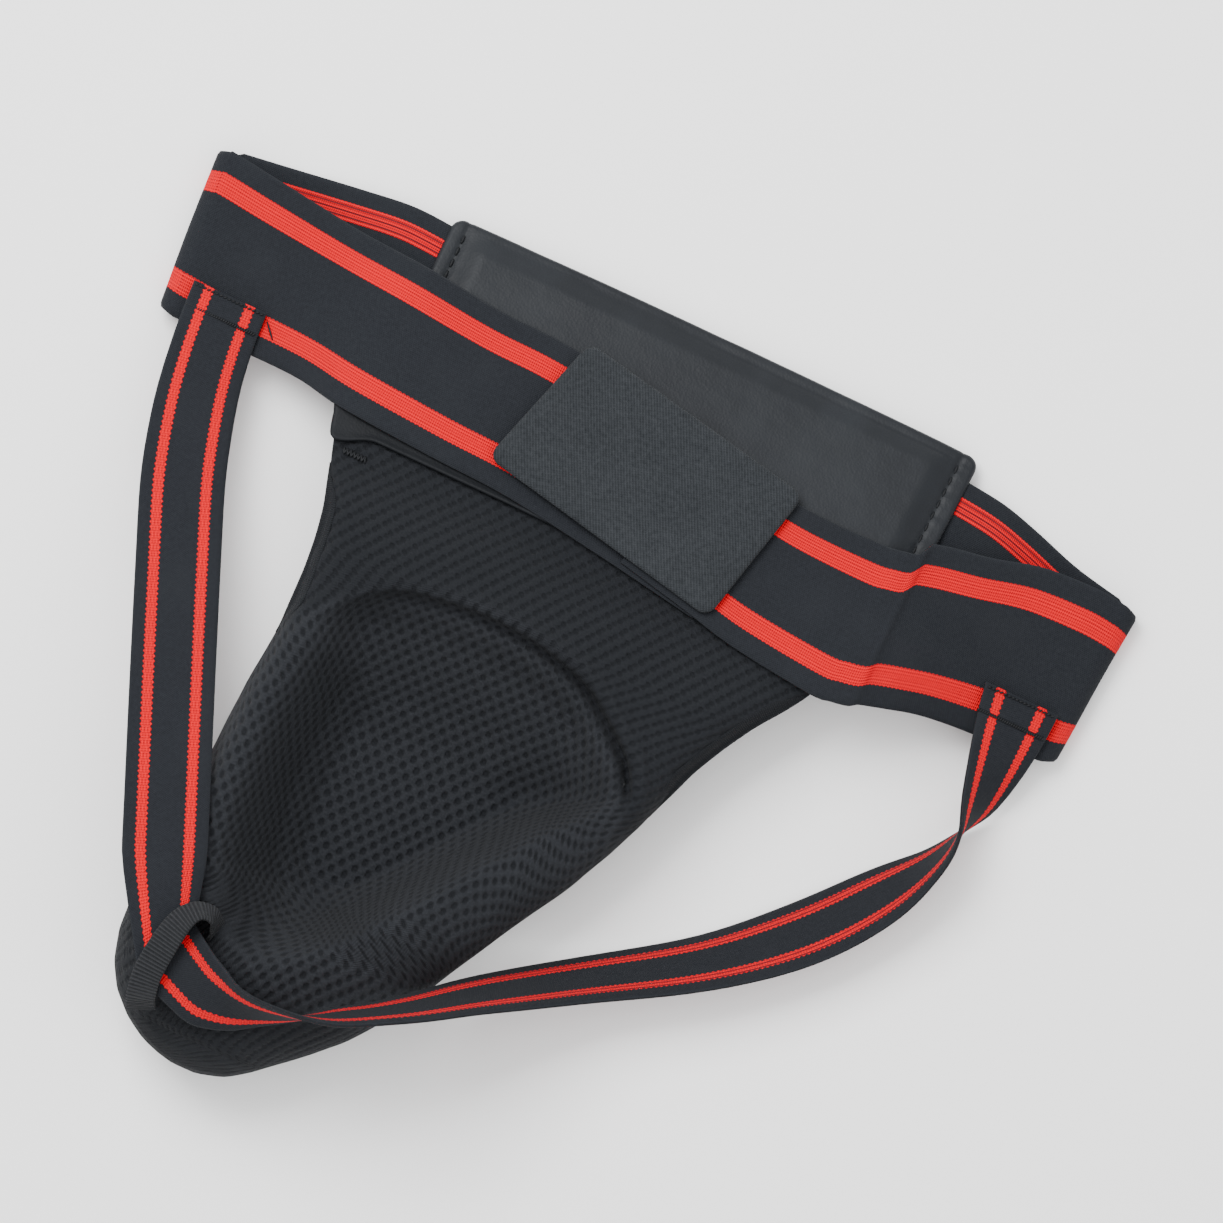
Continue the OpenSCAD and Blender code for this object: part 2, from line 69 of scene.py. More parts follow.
# ---------------------------------------------------------------- shader helper
class Shade:
    """A node material written as formulas. Sockets and plain numbers mix freely."""

    def __init__(self, name, roughness=0.6, specular=0.5, sheen=0.0, sheen_roughness=0.5, coat=0.0):
        self.material = bpy.data.materials.new(name)
        self.material.use_nodes = True
        self.tree = self.material.node_tree
        self.shader = self.tree.nodes["Principled BSDF"]
        self.shader.inputs["Roughness"].default_value = roughness
        self.shader.inputs["Specular IOR Level"].default_value = specular
        self.shader.inputs["Sheen Weight"].default_value = sheen
        self.shader.inputs["Sheen Roughness"].default_value = sheen_roughness
        self.shader.inputs["Coat Weight"].default_value = coat

    def node(self, kind, **settings):
        made = self.tree.nodes.new(kind)
        for key, value in settings.items():
            setattr(made, key, value)
        return made

    def put(self, socket, value):
        if isinstance(value, bpy.types.NodeSocket):
            self.tree.links.new(value, socket)
        else:
            socket.default_value = value

    def math(self, operation, a, b=0.0, c=0.0, clamp=False):
        made = self.node("ShaderNodeMath", operation=operation, use_clamp=clamp)
        for socket, value in zip(made.inputs, (a, b, c)):
            self.put(socket, value)
        return made.outputs[0]

    def add(self, a, b):
        return self.math("ADD", a, b)

    def sub(self, a, b):
        return self.math("SUBTRACT", a, b)

    def mul(self, a, b):
        return self.math("MULTIPLY", a, b)

    def wave(self, coordinate, pitch, phase=0.0):
        """Cosine of a coordinate with this pitch."""
        return self.math("COSINE", self.math("MULTIPLY_ADD", coordinate, 2 * math.pi / pitch, phase))

    def step(self, value, low, high):
        """Smooth step from 0 at low to 1 at high."""
        made = self.node("ShaderNodeMapRange", interpolation_type="SMOOTHSTEP")
        self.put(made.inputs["Value"], value)
        self.put(made.inputs["From Min"], low)
        self.put(made.inputs["From Max"], high)
        return made.outputs["Result"]

    def blend(self, factor, a, b):
        """Colour a where factor is 0, colour b where it is 1."""
        made = self.node("ShaderNodeMix", data_type="RGBA")
        self.put(made.inputs[0], factor)
        self.put(made.inputs[6], a if isinstance(a, bpy.types.NodeSocket) else (*a, 1.0))
        self.put(made.inputs[7], b if isinstance(b, bpy.types.NodeSocket) else (*b, 1.0))
        return made.outputs[2]

    def cloth_uv(self):
        """Coordinates across and along the piece, in metres, as two sockets."""
        split = self.node("ShaderNodeSeparateXYZ")
        self.put(split.inputs[0], self.node("ShaderNodeUVMap").outputs[0])
        return split.outputs[0], split.outputs[1]

    def place(self):
        return self.node("ShaderNodeTexCoord").outputs["Object"]

    def noise(self, scale, detail=3.0, vector=None, roughness=0.55):
        made = self.node("ShaderNodeTexNoise")
        self.put(made.inputs["Vector"], vector or self.place())
        made.inputs["Scale"].default_value = scale
        made.inputs["Detail"].default_value = detail
        made.inputs["Roughness"].default_value = roughness
        return made.outputs["Fac"]

    def cells(self, scale, feature="F1"):
        made = self.node("ShaderNodeTexVoronoi", feature=feature)
        self.put(made.inputs["Vector"], self.place())
        made.inputs["Scale"].default_value = scale
        return made.outputs["Distance"]

    def finish(self, colour, heights, roughness=None):
        """Colour, bump heights as (socket, metres) and an optional roughness map."""
        self.put(self.shader.inputs["Base Color"], colour)
        if roughness is not None:
            self.put(self.shader.inputs["Roughness"], roughness)
        normal = None
        for height, distance in heights:
            bump = self.node("ShaderNodeBump")
            bump.inputs["Distance"].default_value = distance
            bump.inputs["Strength"].default_value = 1.0
            self.put(bump.inputs["Height"], height)
            if normal is not None:
                self.put(bump.inputs["Normal"], normal)
            normal = bump.outputs[0]
        if normal is not None:
            self.put(self.shader.inputs["Normal"], normal)
        return self.material


# ---------------------------------------------------------------- materials
BLACK_YARN = (0.0085, 0.0095, 0.012)
BLACK_YARN_LIGHT = (0.019, 0.021, 0.025)
RED_YARN = (0.68, 0.001, 0.009)
RED_YARN_DEEP = (0.40, 0.001, 0.005)
INNER_FACE = 1.0


def elastic(name, stripes, inner_stripes, tooth, bite, width):
    """Woven elastic with red stripes. stripes are (centre, width) across, in metres.

    The inner face carries UVs shifted by INNER_FACE; its stripes show fine black yarns.
    """
    s = Shade(name, roughness=0.9, specular=0.10, sheen=0.02, sheen_roughness=0.4)
    across, along = s.cloth_uv()
    inner = s.math("GREATER_THAN", across, INNER_FACE / 2)
    across = s.sub(across, s.mul(inner, INNER_FACE))
    weft = s.wave(along, 0.75 * MM)
    warp = s.wave(across, 1.05 * MM)
    loops = s.mul(s.wave(along, tooth), bite)
    faces = []
    for face in (stripes, inner_stripes):
        mask = 0.0
        for centre, wide in face:
            off = s.math("ABSOLUTE", s.sub(across, centre))
            edge = s.add(wide / 2, loops)
            inside = s.step(s.sub(edge, off), -0.12 * MM, 0.12 * MM)
            mask = s.math("MAXIMUM", mask, inside)
        faces.append(mask)
    red = s.add(s.mul(faces[0], s.sub(1.0, inner)), s.mul(faces[1], inner))
    yarns = s.step(s.wave(across, 1.7 * MM), 0.35, 0.8)
    red_shown = s.mul(red, s.sub(1.0, s.mul(s.mul(inner, yarns), 0.85)))
    grain = s.noise(900, 2)
    blotch = s.noise(45, 3)
    lit = s.math("MULTIPLY_ADD", s.mul(weft, warp), 0.22, s.math("MULTIPLY_ADD", grain, 0.7, -0.05),
                 clamp=True)
    black = s.blend(lit, BLACK_YARN, BLACK_YARN_LIGHT)
    black = s.blend(s.mul(s.step(blotch, 0.45, 0.75), 0.35), black, (0.015, 0.0165, 0.0195))
    bars = s.math("MULTIPLY_ADD", s.wave(along, tooth / 2), 0.25, 0.55)
    ribs = s.math("MULTIPLY_ADD", s.wave(across, 1.4 * MM), 0.15, bars)
    scarlet = s.blend(s.math("MULTIPLY_ADD", grain, 0.4, s.sub(ribs, 0.2), clamp=True), RED_YARN_DEEP,
                      RED_YARN)
    # painted highlight: both edges of the elastic are painted lighter, standing in for light catching the
    # edge's thickness
    clear_of_edge_highlight = s.step(across, 0.0, 0.9 * MM)
    clear_of_edge_highlight = s.mul(clear_of_edge_highlight, s.step(s.sub(width, across), 0.0, 0.9 * MM))
    colour = s.blend(red_shown, black, scarlet)
    colour = s.blend(s.mul(s.sub(1.0, clear_of_edge_highlight), 0.5), colour, BLACK_YARN_LIGHT)
    weave = s.math("MULTIPLY_ADD", s.mul(weft, warp), 0.5, s.mul(grain, 0.6))
    pile = s.math("MULTIPLY_ADD", s.wave(along, tooth / 2), 0.35, 1.0)
    return s.finish(colour, [(weave, 0.16 * MM), (s.mul(red, pile), 0.35 * MM)])


BAND_STRIPES = [(11.0 * MM, 7.4 * MM), (46.5 * MM, 7.4 * MM)]
BAND_INNER_STRIPES = [(8.6 * MM, 6.4 * MM), (48.9 * MM, 6.4 * MM)]
BAND_WIDTH = 57.5 * MM
STRAP_STRIPES = [(6.3 * MM, 3.6 * MM), (22.7 * MM, 3.6 * MM)]
STRAP_WIDTH = 29 * MM

HOLE_ACROSS = 4.9 * MM
HOLE_ALONG = 6.5 * MM
# Circle that follows the upper lip of the bowl
BOWL_X, BOWL_Y, BOWL_R = -24 * MM, -42 * MM, 75 * MM


def air_mesh():
    """Knitted spacer mesh: holes on a staggered grid, with yarn ribs between them."""
    s = Shade("air_mesh", roughness=0.85, specular=0.10, sheen=0.02, sheen_roughness=0.35)
    across, along = s.cloth_uv()
    first = s.wave(s.add(across, s.mul(along, HOLE_ACROSS / HOLE_ALONG)), HOLE_ACROSS)
    second = s.wave(s.sub(across, s.mul(along, HOLE_ACROSS / HOLE_ALONG)), HOLE_ACROSS)
    cross = s.wave(s.sub(along, s.mul(across, 0.6)), 2.4 * MM)
    # rows stand out on the flat upper panel, round holes in the bowl
    split = s.node("ShaderNodeSeparateXYZ")
    s.put(split.inputs[0], s.place())
    reach = s.math("SQRT", s.add(s.math("POWER", s.sub(split.outputs[0], BOWL_X), 2.0),
                                 s.math("POWER", s.sub(split.outputs[1], BOWL_Y), 2.0)))
    panel = s.step(reach, BOWL_R - 3 * MM, BOWL_R + 3 * MM)
    even = s.mul(s.add(first, second), 0.5)
    rows = s.add(s.add(s.mul(first, 0.6), s.mul(second, 0.22)), s.mul(cross, 0.3))
    lattice = s.add(s.mul(even, s.sub(1.0, panel)), s.mul(rows, panel))
    hole = s.step(lattice, -0.1, 0.8)
    yarn = s.wave(s.add(across, s.mul(along, 0.5)), 0.62 * MM)
    yarn = s.mul(yarn, s.wave(s.sub(along, s.mul(across, 0.4)), 0.8 * MM))
    grain = s.noise(1100, 2)
    blotch = s.noise(30, 3)
    tone = s.math("MULTIPLY_ADD", yarn, 0.2, s.math("MULTIPLY_ADD", grain, 0.7, -0.05), clamp=True)
    thread = s.blend(tone, (0.0115, 0.0125, 0.0150), (0.034, 0.0365, 0.042))
    thread = s.blend(s.mul(s.step(blotch, 0.4, 0.7), 0.25), thread, (0.013, 0.0145, 0.017))
    # painted shade: the flat upper panel's thread is painted darker, standing in for the shade of the panel
    # sloping away from the light
    thread = s.blend(s.mul(panel, 0.55), thread, (0.0072, 0.0081, 0.0098))
    # painted shade: the holes are painted near-black, standing in for the shade inside them, less dark on the
    # upper panel
    depth = s.sub(0.58, s.mul(panel, 0.13))
    colour = s.blend(s.mul(hole, depth), thread, (0.0035, 0.004, 0.005))
    relief = s.sub(s.mul(yarn, 0.25), s.mul(hole, 1.0))
    return s.finish(colour, [(relief, 0.45 * MM), (grain, 0.12 * MM)])


def leather(name, base, light, grain_size, roughness, crease=0.5, specular=0.20):
    """Smooth PU leather: fine pores, faint creases and worn light patches."""
    s = Shade(name, roughness=roughness, specular=specular)
    pores = s.cells(grain_size)
    wrinkles = s.noise(160, 4)
    patches = s.noise(28, 3)
    colour = s.blend(s.step(patches, 0.35, 0.75), base, light)
    colour = s.blend(s.mul(s.step(pores, 0.25, 0.0), 0.25), colour, (0.012, 0.0125, 0.015))
    rough = s.math("MULTIPLY_ADD", patches, 0.18, roughness - 0.09, clamp=True)
    return s.finish(colour, [(pores, 0.06 * MM), (s.mul(wrinkles, crease), 0.35 * MM)], rough)


def twill_tape():
    """Back of the hook tape: fine diagonal twill with light broken yarns."""
    s = Shade("hook_tape", roughness=0.85, specular=0.10, sheen=0.03, sheen_roughness=0.45)
    across, along = s.cloth_uv()
    diagonal = s.wave(s.add(across, s.mul(along, 0.85)), 1.25 * MM)
    counter = s.wave(s.sub(across, s.mul(along, 1.1)), 0.9 * MM)
    fleck = s.noise(700, 3)
    broad = s.noise(60, 2)
    tone = s.math("MULTIPLY_ADD", diagonal, 0.18, s.math("MULTIPLY_ADD", fleck, 1.1, -0.18))
    tone = s.math("MULTIPLY_ADD", broad, 0.3, s.math("MULTIPLY_ADD", counter, 0.08, tone), clamp=True)
    colour = s.blend(tone, (0.0095, 0.0112, 0.013), (0.030, 0.033, 0.037))
    height = s.math("MULTIPLY_ADD", counter, 0.3, s.add(s.mul(diagonal, 0.6), fleck))
    return s.finish(colour, [(height, 0.18 * MM)])


def ribbed_webbing(name, dark, light, pitch):
    """Narrow webbing with ribs across it."""
    s = Shade(name, roughness=0.8, specular=0.12, sheen=0.03, sheen_roughness=0.4)
    across, along = s.cloth_uv()
    rib = s.wave(along, pitch)
    yarn = s.wave(s.add(across, s.mul(along, 0.6)), 0.7 * MM)
    fleck = s.noise(800, 2)
    tone = s.math("MULTIPLY_ADD", rib, 0.3, s.math("MULTIPLY_ADD", fleck, 0.6, 0.1), clamp=True)
    colour = s.blend(tone, dark, light)
    return s.finish(colour, [(s.math("MULTIPLY_ADD", yarn, 0.25, rib), 0.2 * pitch)])


def sewing_thread():
    s = Shade("sewing_thread", roughness=0.6, specular=0.15)
    twist = s.noise(1500, 2)
    colour = s.blend(twist, (0.003, 0.0033, 0.004), (0.012, 0.013, 0.015))
    return s.finish(colour, [(twist, 0.1 * MM)])


def hook_pile():
    """Dense little hooks under the flap."""
    s = Shade("hook_pile", roughness=0.6, specular=0.4)
    hooks = s.cells(1100)
    colour = s.blend(s.step(hooks, 0.0, 0.5), (0.040, 0.042, 0.046), (0.008, 0.008, 0.010))
    return s.finish(colour, [(s.sub(1.0, hooks), 0.5 * MM)])


def loop_pile():
    """Brushed loops on the patch of the rear band."""
    s = Shade("loop_pile", roughness=0.95, specular=0.15, sheen=0.5)
    fuzz = s.noise(1400, 4)
    clumps = s.noise(220, 3)
    colour = s.blend(s.add(s.mul(fuzz, 0.6), s.mul(clumps, 0.4)), (0.012, 0.013, 0.015),
                     (0.065, 0.068, 0.074))
    return s.finish(colour, [(fuzz, 0.4 * MM), (clumps, 0.5 * MM)])


def moulded_plastic():
    s = Shade("cup_plastic", roughness=0.38, specular=0.5)
    orange = s.noise(500, 2)
    marks = s.noise(40, 4)
    colour = s.blend(s.step(marks, 0.4, 0.8), (0.72, 0.72, 0.69), (0.62, 0.62, 0.60))
    return s.finish(colour, [(orange, 0.05 * MM)], s.math("MULTIPLY_ADD", marks, 0.2, 0.3))


def cell_foam():
    s = Shade("cell_foam", roughness=0.95, specular=0.1, sheen=0.2)
    pores = s.cells(1500)
    colour = s.blend(s.step(pores, 0.0, 0.5), (0.010, 0.010, 0.011), (0.035, 0.036, 0.038))
    return s.finish(colour, [(pores, 0.3 * MM)])


def pale_floor():
    s = Shade("pale_floor", roughness=0.9, specular=0.1)
    s.shader.inputs["Base Color"].default_value = (0.93, 0.93, 0.93, 1)
    return s.material


BAND_ELASTIC = elastic("band_elastic", BAND_STRIPES, BAND_INNER_STRIPES, 1.5 * MM, 0.14 * MM, BAND_WIDTH)
STRAP_ELASTIC = elastic("strap_elastic", STRAP_STRIPES, STRAP_STRIPES, 1.8 * MM, 0.27 * MM, STRAP_WIDTH)
AIR_MESH = air_mesh()
PAD_LEATHER = leather("pad_leather", (0.0100, 0.0113, 0.0135), (0.0140, 0.0158, 0.0185), 1100, 0.5,
                      specular=0.14)
SHELL_LEATHER = leather("shell_leather", (0.0105, 0.012, 0.0145), (0.015, 0.017, 0.020), 1000, 0.45)
# the edge strip's black PU, with its base painted darker still: a painted shadow of the waistband lying over
# it
BINDING_PAINTED_SHADOW = leather("binding_leather_painted_shadow", (0.006, 0.0067, 0.008), (0.009, 0.010, 0.012), 1300, 0.55, specular=0.10)
HEM_TAPE = ribbed_webbing("hem_tape", (0.0065, 0.0074, 0.009), (0.013, 0.0145, 0.0170), 0.7 * MM)
TAPE = twill_tape()
WEBBING = ribbed_webbing("ribbed_webbing", (0.008, 0.009, 0.0105), (0.030, 0.031, 0.034), 1.25 * MM)
THREAD = sewing_thread()
HOOKS = hook_pile()
LOOPS = loop_pile()
PLASTIC = moulded_plastic()
FOAM = cell_foam()


# ---------------------------------------------------------------- curves and meshes
def spline(points, steps):
    """Smooth curve through the points, steps samples per span."""
    pts = np.array(points, dtype=float)
    padded = np.vstack([pts[0], pts, pts[-1]])
    out = []
    for i in range(len(pts) - 1):
        p0, p1, p2, p3 = padded[i:i + 4]
        for t in np.arange(steps) / steps:
            out.append(0.5 * (2 * p1 + (p2 - p0) * t + (2 * p0 - 5 * p1 + 4 * p2 - p3) * t * t
                              + (3 * p1 - p0 - 3 * p2 + p3) * t ** 3))
    out.append(pts[-1])
    return np.array(out)


def unit(vectors):
    length = np.linalg.norm(vectors, axis=-1, keepdims=True)
    return vectors / np.maximum(length, 1e-12)


def ease(t):
    t = np.clip(t, 0.0, 1.0)
    return t * t * (3 - 2 * t)


def resample(path, also, step):
    """Both paths at even steps along the mean of the two."""
    middle = (path + also) / 2
    gaps = np.linalg.norm(np.diff(middle, axis=0), axis=1)
    along = np.concatenate([[0], np.cumsum(gaps)])
    count = max(int(along[-1] / step), 2) + 1
    marks = np.linspace(0, along[-1], count)
    even = [np.column_stack([np.interp(marks, along, line[:, k]) for k in range(3)]) for line in (path, also)]
    return even[0], even[1], marks


def soften(values, passes):
    """Running average along the first axis, with its ends kept."""
    values = values.copy()
    for _ in range(passes):
        values[1:-1] = (values[:-2] + 2 * values[1:-1] + values[2:]) / 4
    return values


def link(name, verts, faces, material, uv=None, smooth=True):
    """New mesh object. uv holds one pair per vertex."""
    mesh = bpy.data.meshes.new(name)
    mesh.from_pydata([tuple(v) for v in verts], [], [tuple(f) for f in faces])
    mesh.materials.append(material)
    if uv is not None:
        layer = mesh.uv_layers.new(name="UVMap")
        order = np.empty(len(mesh.loops), dtype=np.int32)
        mesh.loops.foreach_get("vertex_index", order)
        layer.data.foreach_set("uv", np.asarray(uv, dtype=np.float32)[order].ravel())
    if smooth:
        mesh.polygons.foreach_set("use_smooth", [True] * len(mesh.polygons))
    mesh.validate()
    mesh.update()
    piece = bpy.data.objects.new(name, mesh)
    bpy.context.scene.collection.objects.link(piece)
    return piece


def grid_faces(rows, cols, start=0, flip=False):
    i, j = np.meshgrid(np.arange(rows - 1), np.arange(cols - 1), indexing="ij")
    a = (start + i * cols + j).ravel()
    quads = np.column_stack([a, a + 1, a + cols + 1, a + cols])
    return quads[:, ::-1] if flip else quads


def closed_sheet(name, top, bottom, material, uv_top, uv_bottom):
    """Closed solid from two grids of points with the same rows and columns."""
    rows, cols = top.shape[:2]
    count = rows * cols
    upper = grid_faces(rows, cols)
    lower = grid_faces(rows, cols, count, flip=True)
    rim = [i * cols for i in range(rows)][::-1] + list(range(1, cols)) \
        + [i * cols + cols - 1 for i in range(1, rows)] + list(range(count - 2, count - cols, -1))
    walls = [(rim[k], rim[k - 1], rim[k - 1] + count, rim[k] + count) for k in range(len(rim))]
    verts = np.vstack([top.reshape(-1, 3), bottom.reshape(-1, 3)])
    uv = np.vstack([uv_top.reshape(-1, 2), uv_bottom.reshape(-1, 2)])
    return link(name, verts, list(map(tuple, upper)) + list(map(tuple, lower)) + walls, material, uv)


def fix_normals(piece):
    bpy.context.view_layer.objects.active = piece
    piece.select_set(True)
    bpy.ops.object.mode_set(mode="EDIT")
    bpy.ops.mesh.select_all(action="SELECT")
    bpy.ops.mesh.normals_make_consistent(inside=False)
    bpy.ops.object.mode_set(mode="OBJECT")
    piece.select_set(False)
    return piece


def ribbon(name, left, right, thickness, material, width, step=1.0 * MM, columns=28, relief=None,
           inner_up=False, soft=6):
    """Closed strip of webbing between two edge curves (in metres).

    relief(u, v) lifts the strip along its normal; u is 0 at the left edge, 1 at the right.
    inner_up says that the face on the normal's side is the inner face of the elastic.
    """
    left, right, marks = resample(np.asarray(left), np.asarray(right), step)
    along = np.gradient((left + right) / 2, axis=0)
    normal = unit(soften(unit(np.cross(along, left - right)), soft))
    u = np.linspace(0, 1, columns + 1)
    # crowd the columns towards the edges, where the strip turns over
    u = 0.5 - 0.5 * np.cos(np.pi * u) * 0.35 - 0.5 * (1 - 2 * u) * 0.65
    body = left[:, None, :] * (1 - u)[None, :, None] + right[:, None, :] * u[None, :, None]
    rim = np.clip(np.minimum(u, 1 - u) * width / (0.9 * thickness), 0, 1)
    half = thickness / 2 * np.sqrt(1 - (1 - rim) ** 2 * 0.8)
    lift = relief(u[None, :], marks[:, None]) if relief else np.zeros((len(marks), len(u)))
    body = body + normal[:, None, :] * lift[..., None]
    top = body + normal[:, None, :] * half[None, :, None]
    bottom = body - normal[:, None, :] * half[None, :, None]
    grid_u = np.broadcast_to(u * width, (len(marks), len(u)))
    grid_v = np.broadcast_to(marks[:, None], grid_u.shape)
    outer = np.dstack([grid_u, grid_v])
    inner = np.dstack([grid_u + INNER_FACE, grid_v])
    faces = (inner, outer) if inner_up else (outer, inner)
    return fix_normals(closed_sheet(name, top, bottom, material, *faces))


def capsules(name, segments, radius, material, bow=0.0):
    """Stitches: one bowed thread of round section for each pair of ends."""
    sides, rings = 8, 7
    verts, faces = [], []
    for a, b, up in segments:
        a, b, up = np.array(a), np.array(b), unit(np.array(up, dtype=float))
        along = unit(b - a)
        side = unit(np.cross(along, up))
        for k in range(rings):
            t = k / (rings - 1)
            swell = math.sin(math.pi * min(max(t, 0.06), 0.94))
            centre = a + (b - a) * t + up * bow * math.sin(math.pi * t)
            for j in range(sides):
                angle = 2 * math.pi * j / sides
                ring = side * math.cos(angle) + np.cross(side, along) * math.sin(angle)
                verts.append(centre + ring * radius * swell ** 0.35)
        base = len(verts) - rings * sides
        for k in range(rings - 1):
            for j in range(sides):
                n = (j + 1) % sides
                faces.append((base + k * sides + j, base + k * sides + n,
                              base + (k + 1) * sides + n, base + (k + 1) * sides + j))
        faces.append(tuple(base + j for j in range(sides))[::-1])
        faces.append(tuple(base + (rings - 1) * sides + j for j in range(sides)))
    return fix_normals(link(name, verts, faces, material))


def rough(x, y, scale, seed):
    """Smooth noise about zero for arrays x, y."""
    flat = [noise.noise(Vector((a * scale, b * scale, seed))) for a, b in zip(np.ravel(x), np.ravel(y))]
    return np.array(flat).reshape(np.shape(x))


# ---------------------------------------------------------------- reading the frame
def node_arrays(name):
    mesh = NODES[name].data
    verts = np.array([v.co for v in mesh.vertices])
    faces = [tuple(p.vertices) for p in mesh.polygons]
    return verts, faces


def node_tree(name):
    verts, faces = node_arrays(name)
    return BVHTree.FromPolygons([tuple(v) for v in verts], faces)


ABOVE = 0.2
BELOW = -0.05


def height(tree, x, y, seen_from, missed):
    """Height of the node's surface at x, y seen from ABOVE or BELOW, or missed where there is none."""
    toward = -1 if seen_from == ABOVE else 1
    hit = tree.ray_cast(Vector((x, y, seen_from)), Vector((0, 0, toward)))[0]
    return missed if hit is None else hit.z


def row_limits(name, levels):
    """Least and greatest x of a node's section at each y."""
    verts, faces = node_arrays(name)
    pairs = set()
    for face in faces:
        for k, a in enumerate(face):
            b = face[k - 1]
            pairs.add((min(a, b), max(a, b)))
    edges = np.array(sorted(pairs))
    p, q = verts[edges[:, 0]], verts[edges[:, 1]]
    low, high = [], []
    for y in levels:
        cut = (p[:, 1] - y) * (q[:, 1] - y) <= 0
        a, b = p[cut], q[cut]
        span = b[:, 1] - a[:, 1]
        t = np.where(np.abs(span) > 1e-9, (y - a[:, 1]) / np.where(np.abs(span) > 1e-9, span, 1), 0.5)
        x = a[:, 0] + (b[:, 0] - a[:, 0]) * t
        low.append(x.min())
        high.append(x.max())
    return np.array(low), np.array(high)


PAD_LOW, PAD_HIGH = [np.array(c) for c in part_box("pad_inner_cover")]
# The pad's inner face rises from its top edge at the slope of TILT
PAD_T = 9.4 * MM
PAD_TOP_Y = 152 * MM
PAD_TOP_Z = PAD_T * math.cos(TILT)


def on_slope(x, s, n):
    """Point on the pad: x along it, s down from its top edge, n out of its inner face."""
    return np.stack([x, PAD_TOP_Y - s * math.cos(TILT) + n * math.sin(TILT),
                     PAD_TOP_Z + s * math.sin(TILT) + n * math.cos(TILT)], axis=-1)


def slope_z(y):
    return PAD_TOP_Z + (PAD_TOP_Y - y) * math.tan(TILT)


SLOPE_NORMAL = (0, math.sin(TILT), math.cos(TILT))


# ---------------------------------------------------------------- camera, light, floor
def set_camera():
    """Straight above, turned 25 degrees, with a long lens."""
    data = bpy.data.cameras.new("camera")
    camera = bpy.data.objects.new("camera", data)
    bpy.context.scene.collection.objects.link(camera)
    view_centre = (12.2 * MM, 50.1 * MM)
    view_size = 0.416
    distance = 3.0
    data.sensor_width = 36
    data.lens = data.sensor_width * distance / view_size
    data.clip_end = 20
    camera.location = (view_centre[0], view_centre[1], distance + 0.02)
    camera.rotation_euler = (0, 0, math.radians(25))
    bpy.context.scene.camera = camera


def area_light(name, place, target, size, power):
    data = bpy.data.lights.new(name, "AREA")
    data.size = size
    data.energy = power
    lamp = bpy.data.objects.new(name, data)
    lamp.location = place
    aim = Vector(target) - Vector(place)
    lamp.rotation_euler = aim.to_track_quat("-Z", "Y").to_euler()
    bpy.context.scene.collection.objects.link(lamp)


def set_stage():
    world = bpy.data.worlds.new("studio")
    world.use_nodes = True
    world.node_tree.nodes["Background"].inputs["Color"].default_value = (1, 1, 1, 1)
    world.node_tree.nodes["Background"].inputs["Strength"].default_value = 1.25
    bpy.context.scene.world = world
    # the photo's upper left is the row's -X, +Y
    area_light("key", (-0.8, 0.6, 1.45), (0, 0, 0), 0.9, 42)
    area_light("fill", (0.9, -0.2, 1.3), (0, 0, 0), 1.0, 4)
    area_light("top", (-0.2, 0.3, 1.9), (0, 0, 0), 1.4, 12)
    half = 3.0
    floor = link("floor", [(-half, -half, FLOOR_Z), (half, -half, FLOOR_Z), (half, half, FLOOR_Z),
                           (-half, half, FLOOR_Z)], [(0, 1, 2, 3)], pale_floor(), smooth=False)


# ---------------------------------------------------------------- pouch
CORNER_Y = 52 * MM
LIP_ARC = [[54, -16], [50, -9.5], [46, -4], [41, 6], [34, 12.5], [27, 18], [19, 23.5], [8, 28], [-6, 31],
           [-20, 32],
           [-33, 31.5], [-47, 29.5], [-58, 26], [-65, 21.5]]


def lip_relief(x, y):
    """Lift of the cloth at the upper lip of the bowl, and how far it leans over the bowl."""
    arc = spline(mm(LIP_ARC), 5)
    best = np.full(x.shape, 1.0)
    side = np.zeros(x.shape)
    share = np.zeros(x.shape)
    for k in range(len(arc) - 1):
        a, b = arc[k], arc[k + 1]
        along = b - a
        t = np.clip(((x - a[0]) * along[0] + (y - a[1]) * along[1]) / (along @ along), 0, 1)
        off_x, off_y = x - a[0] - t * along[0], y - a[1] - t * along[1]
        far = np.hypot(off_x, off_y)
        nearer = far < best
        best = np.where(nearer, far, best)
        side = np.where(nearer, np.sign(along[0] * off_y - along[1] * off_x), side)
        share = np.where(nearer, (k + t) / (len(arc) - 1), share)
    d = best * side / MM
    strength = ease((share - 0.10) / 0.12) * (1 - 0.6 * ease((share - 0.5) / 0.45)) * ease((1 - share) / 0.1)
    crease = -6.0 * np.exp(-((d - 2.3) / 2.1) ** 2)
    roll = 1.6 * np.exp(-((d + 2.6) / 2.4) ** 2)
    swell = 4.2 * np.exp(-((d - 9) / 4.5) ** 2)
    lean = 1.5 * np.exp(-((d + 0.6) / 1.6) ** 2)
    return strength * (crease + roll + swell) * MM, strength * lean * MM


def run_on(levels, edge, low, high):
    """Edge carried straight on above level high, at the slope it has from low to high."""
    a, b = [np.interp(-level, -levels, edge) for level in (low, high)]
    return np.where(levels > high, b + (levels - high) * (b - a) / (high - low), edge)


def keep_above(points, where, names, gap):
    """Hold the marked points at least gap above the top of the named nodes."""
    trees = [node_tree(name) for name in names]
    for i, j in zip(*np.nonzero(where)):
        x, y, z = points[i, j]
        tops = [height(tree, x, y, ABOVE, -1) + gap for tree in trees]
        points[i, j, 2] = max(z, *tops)


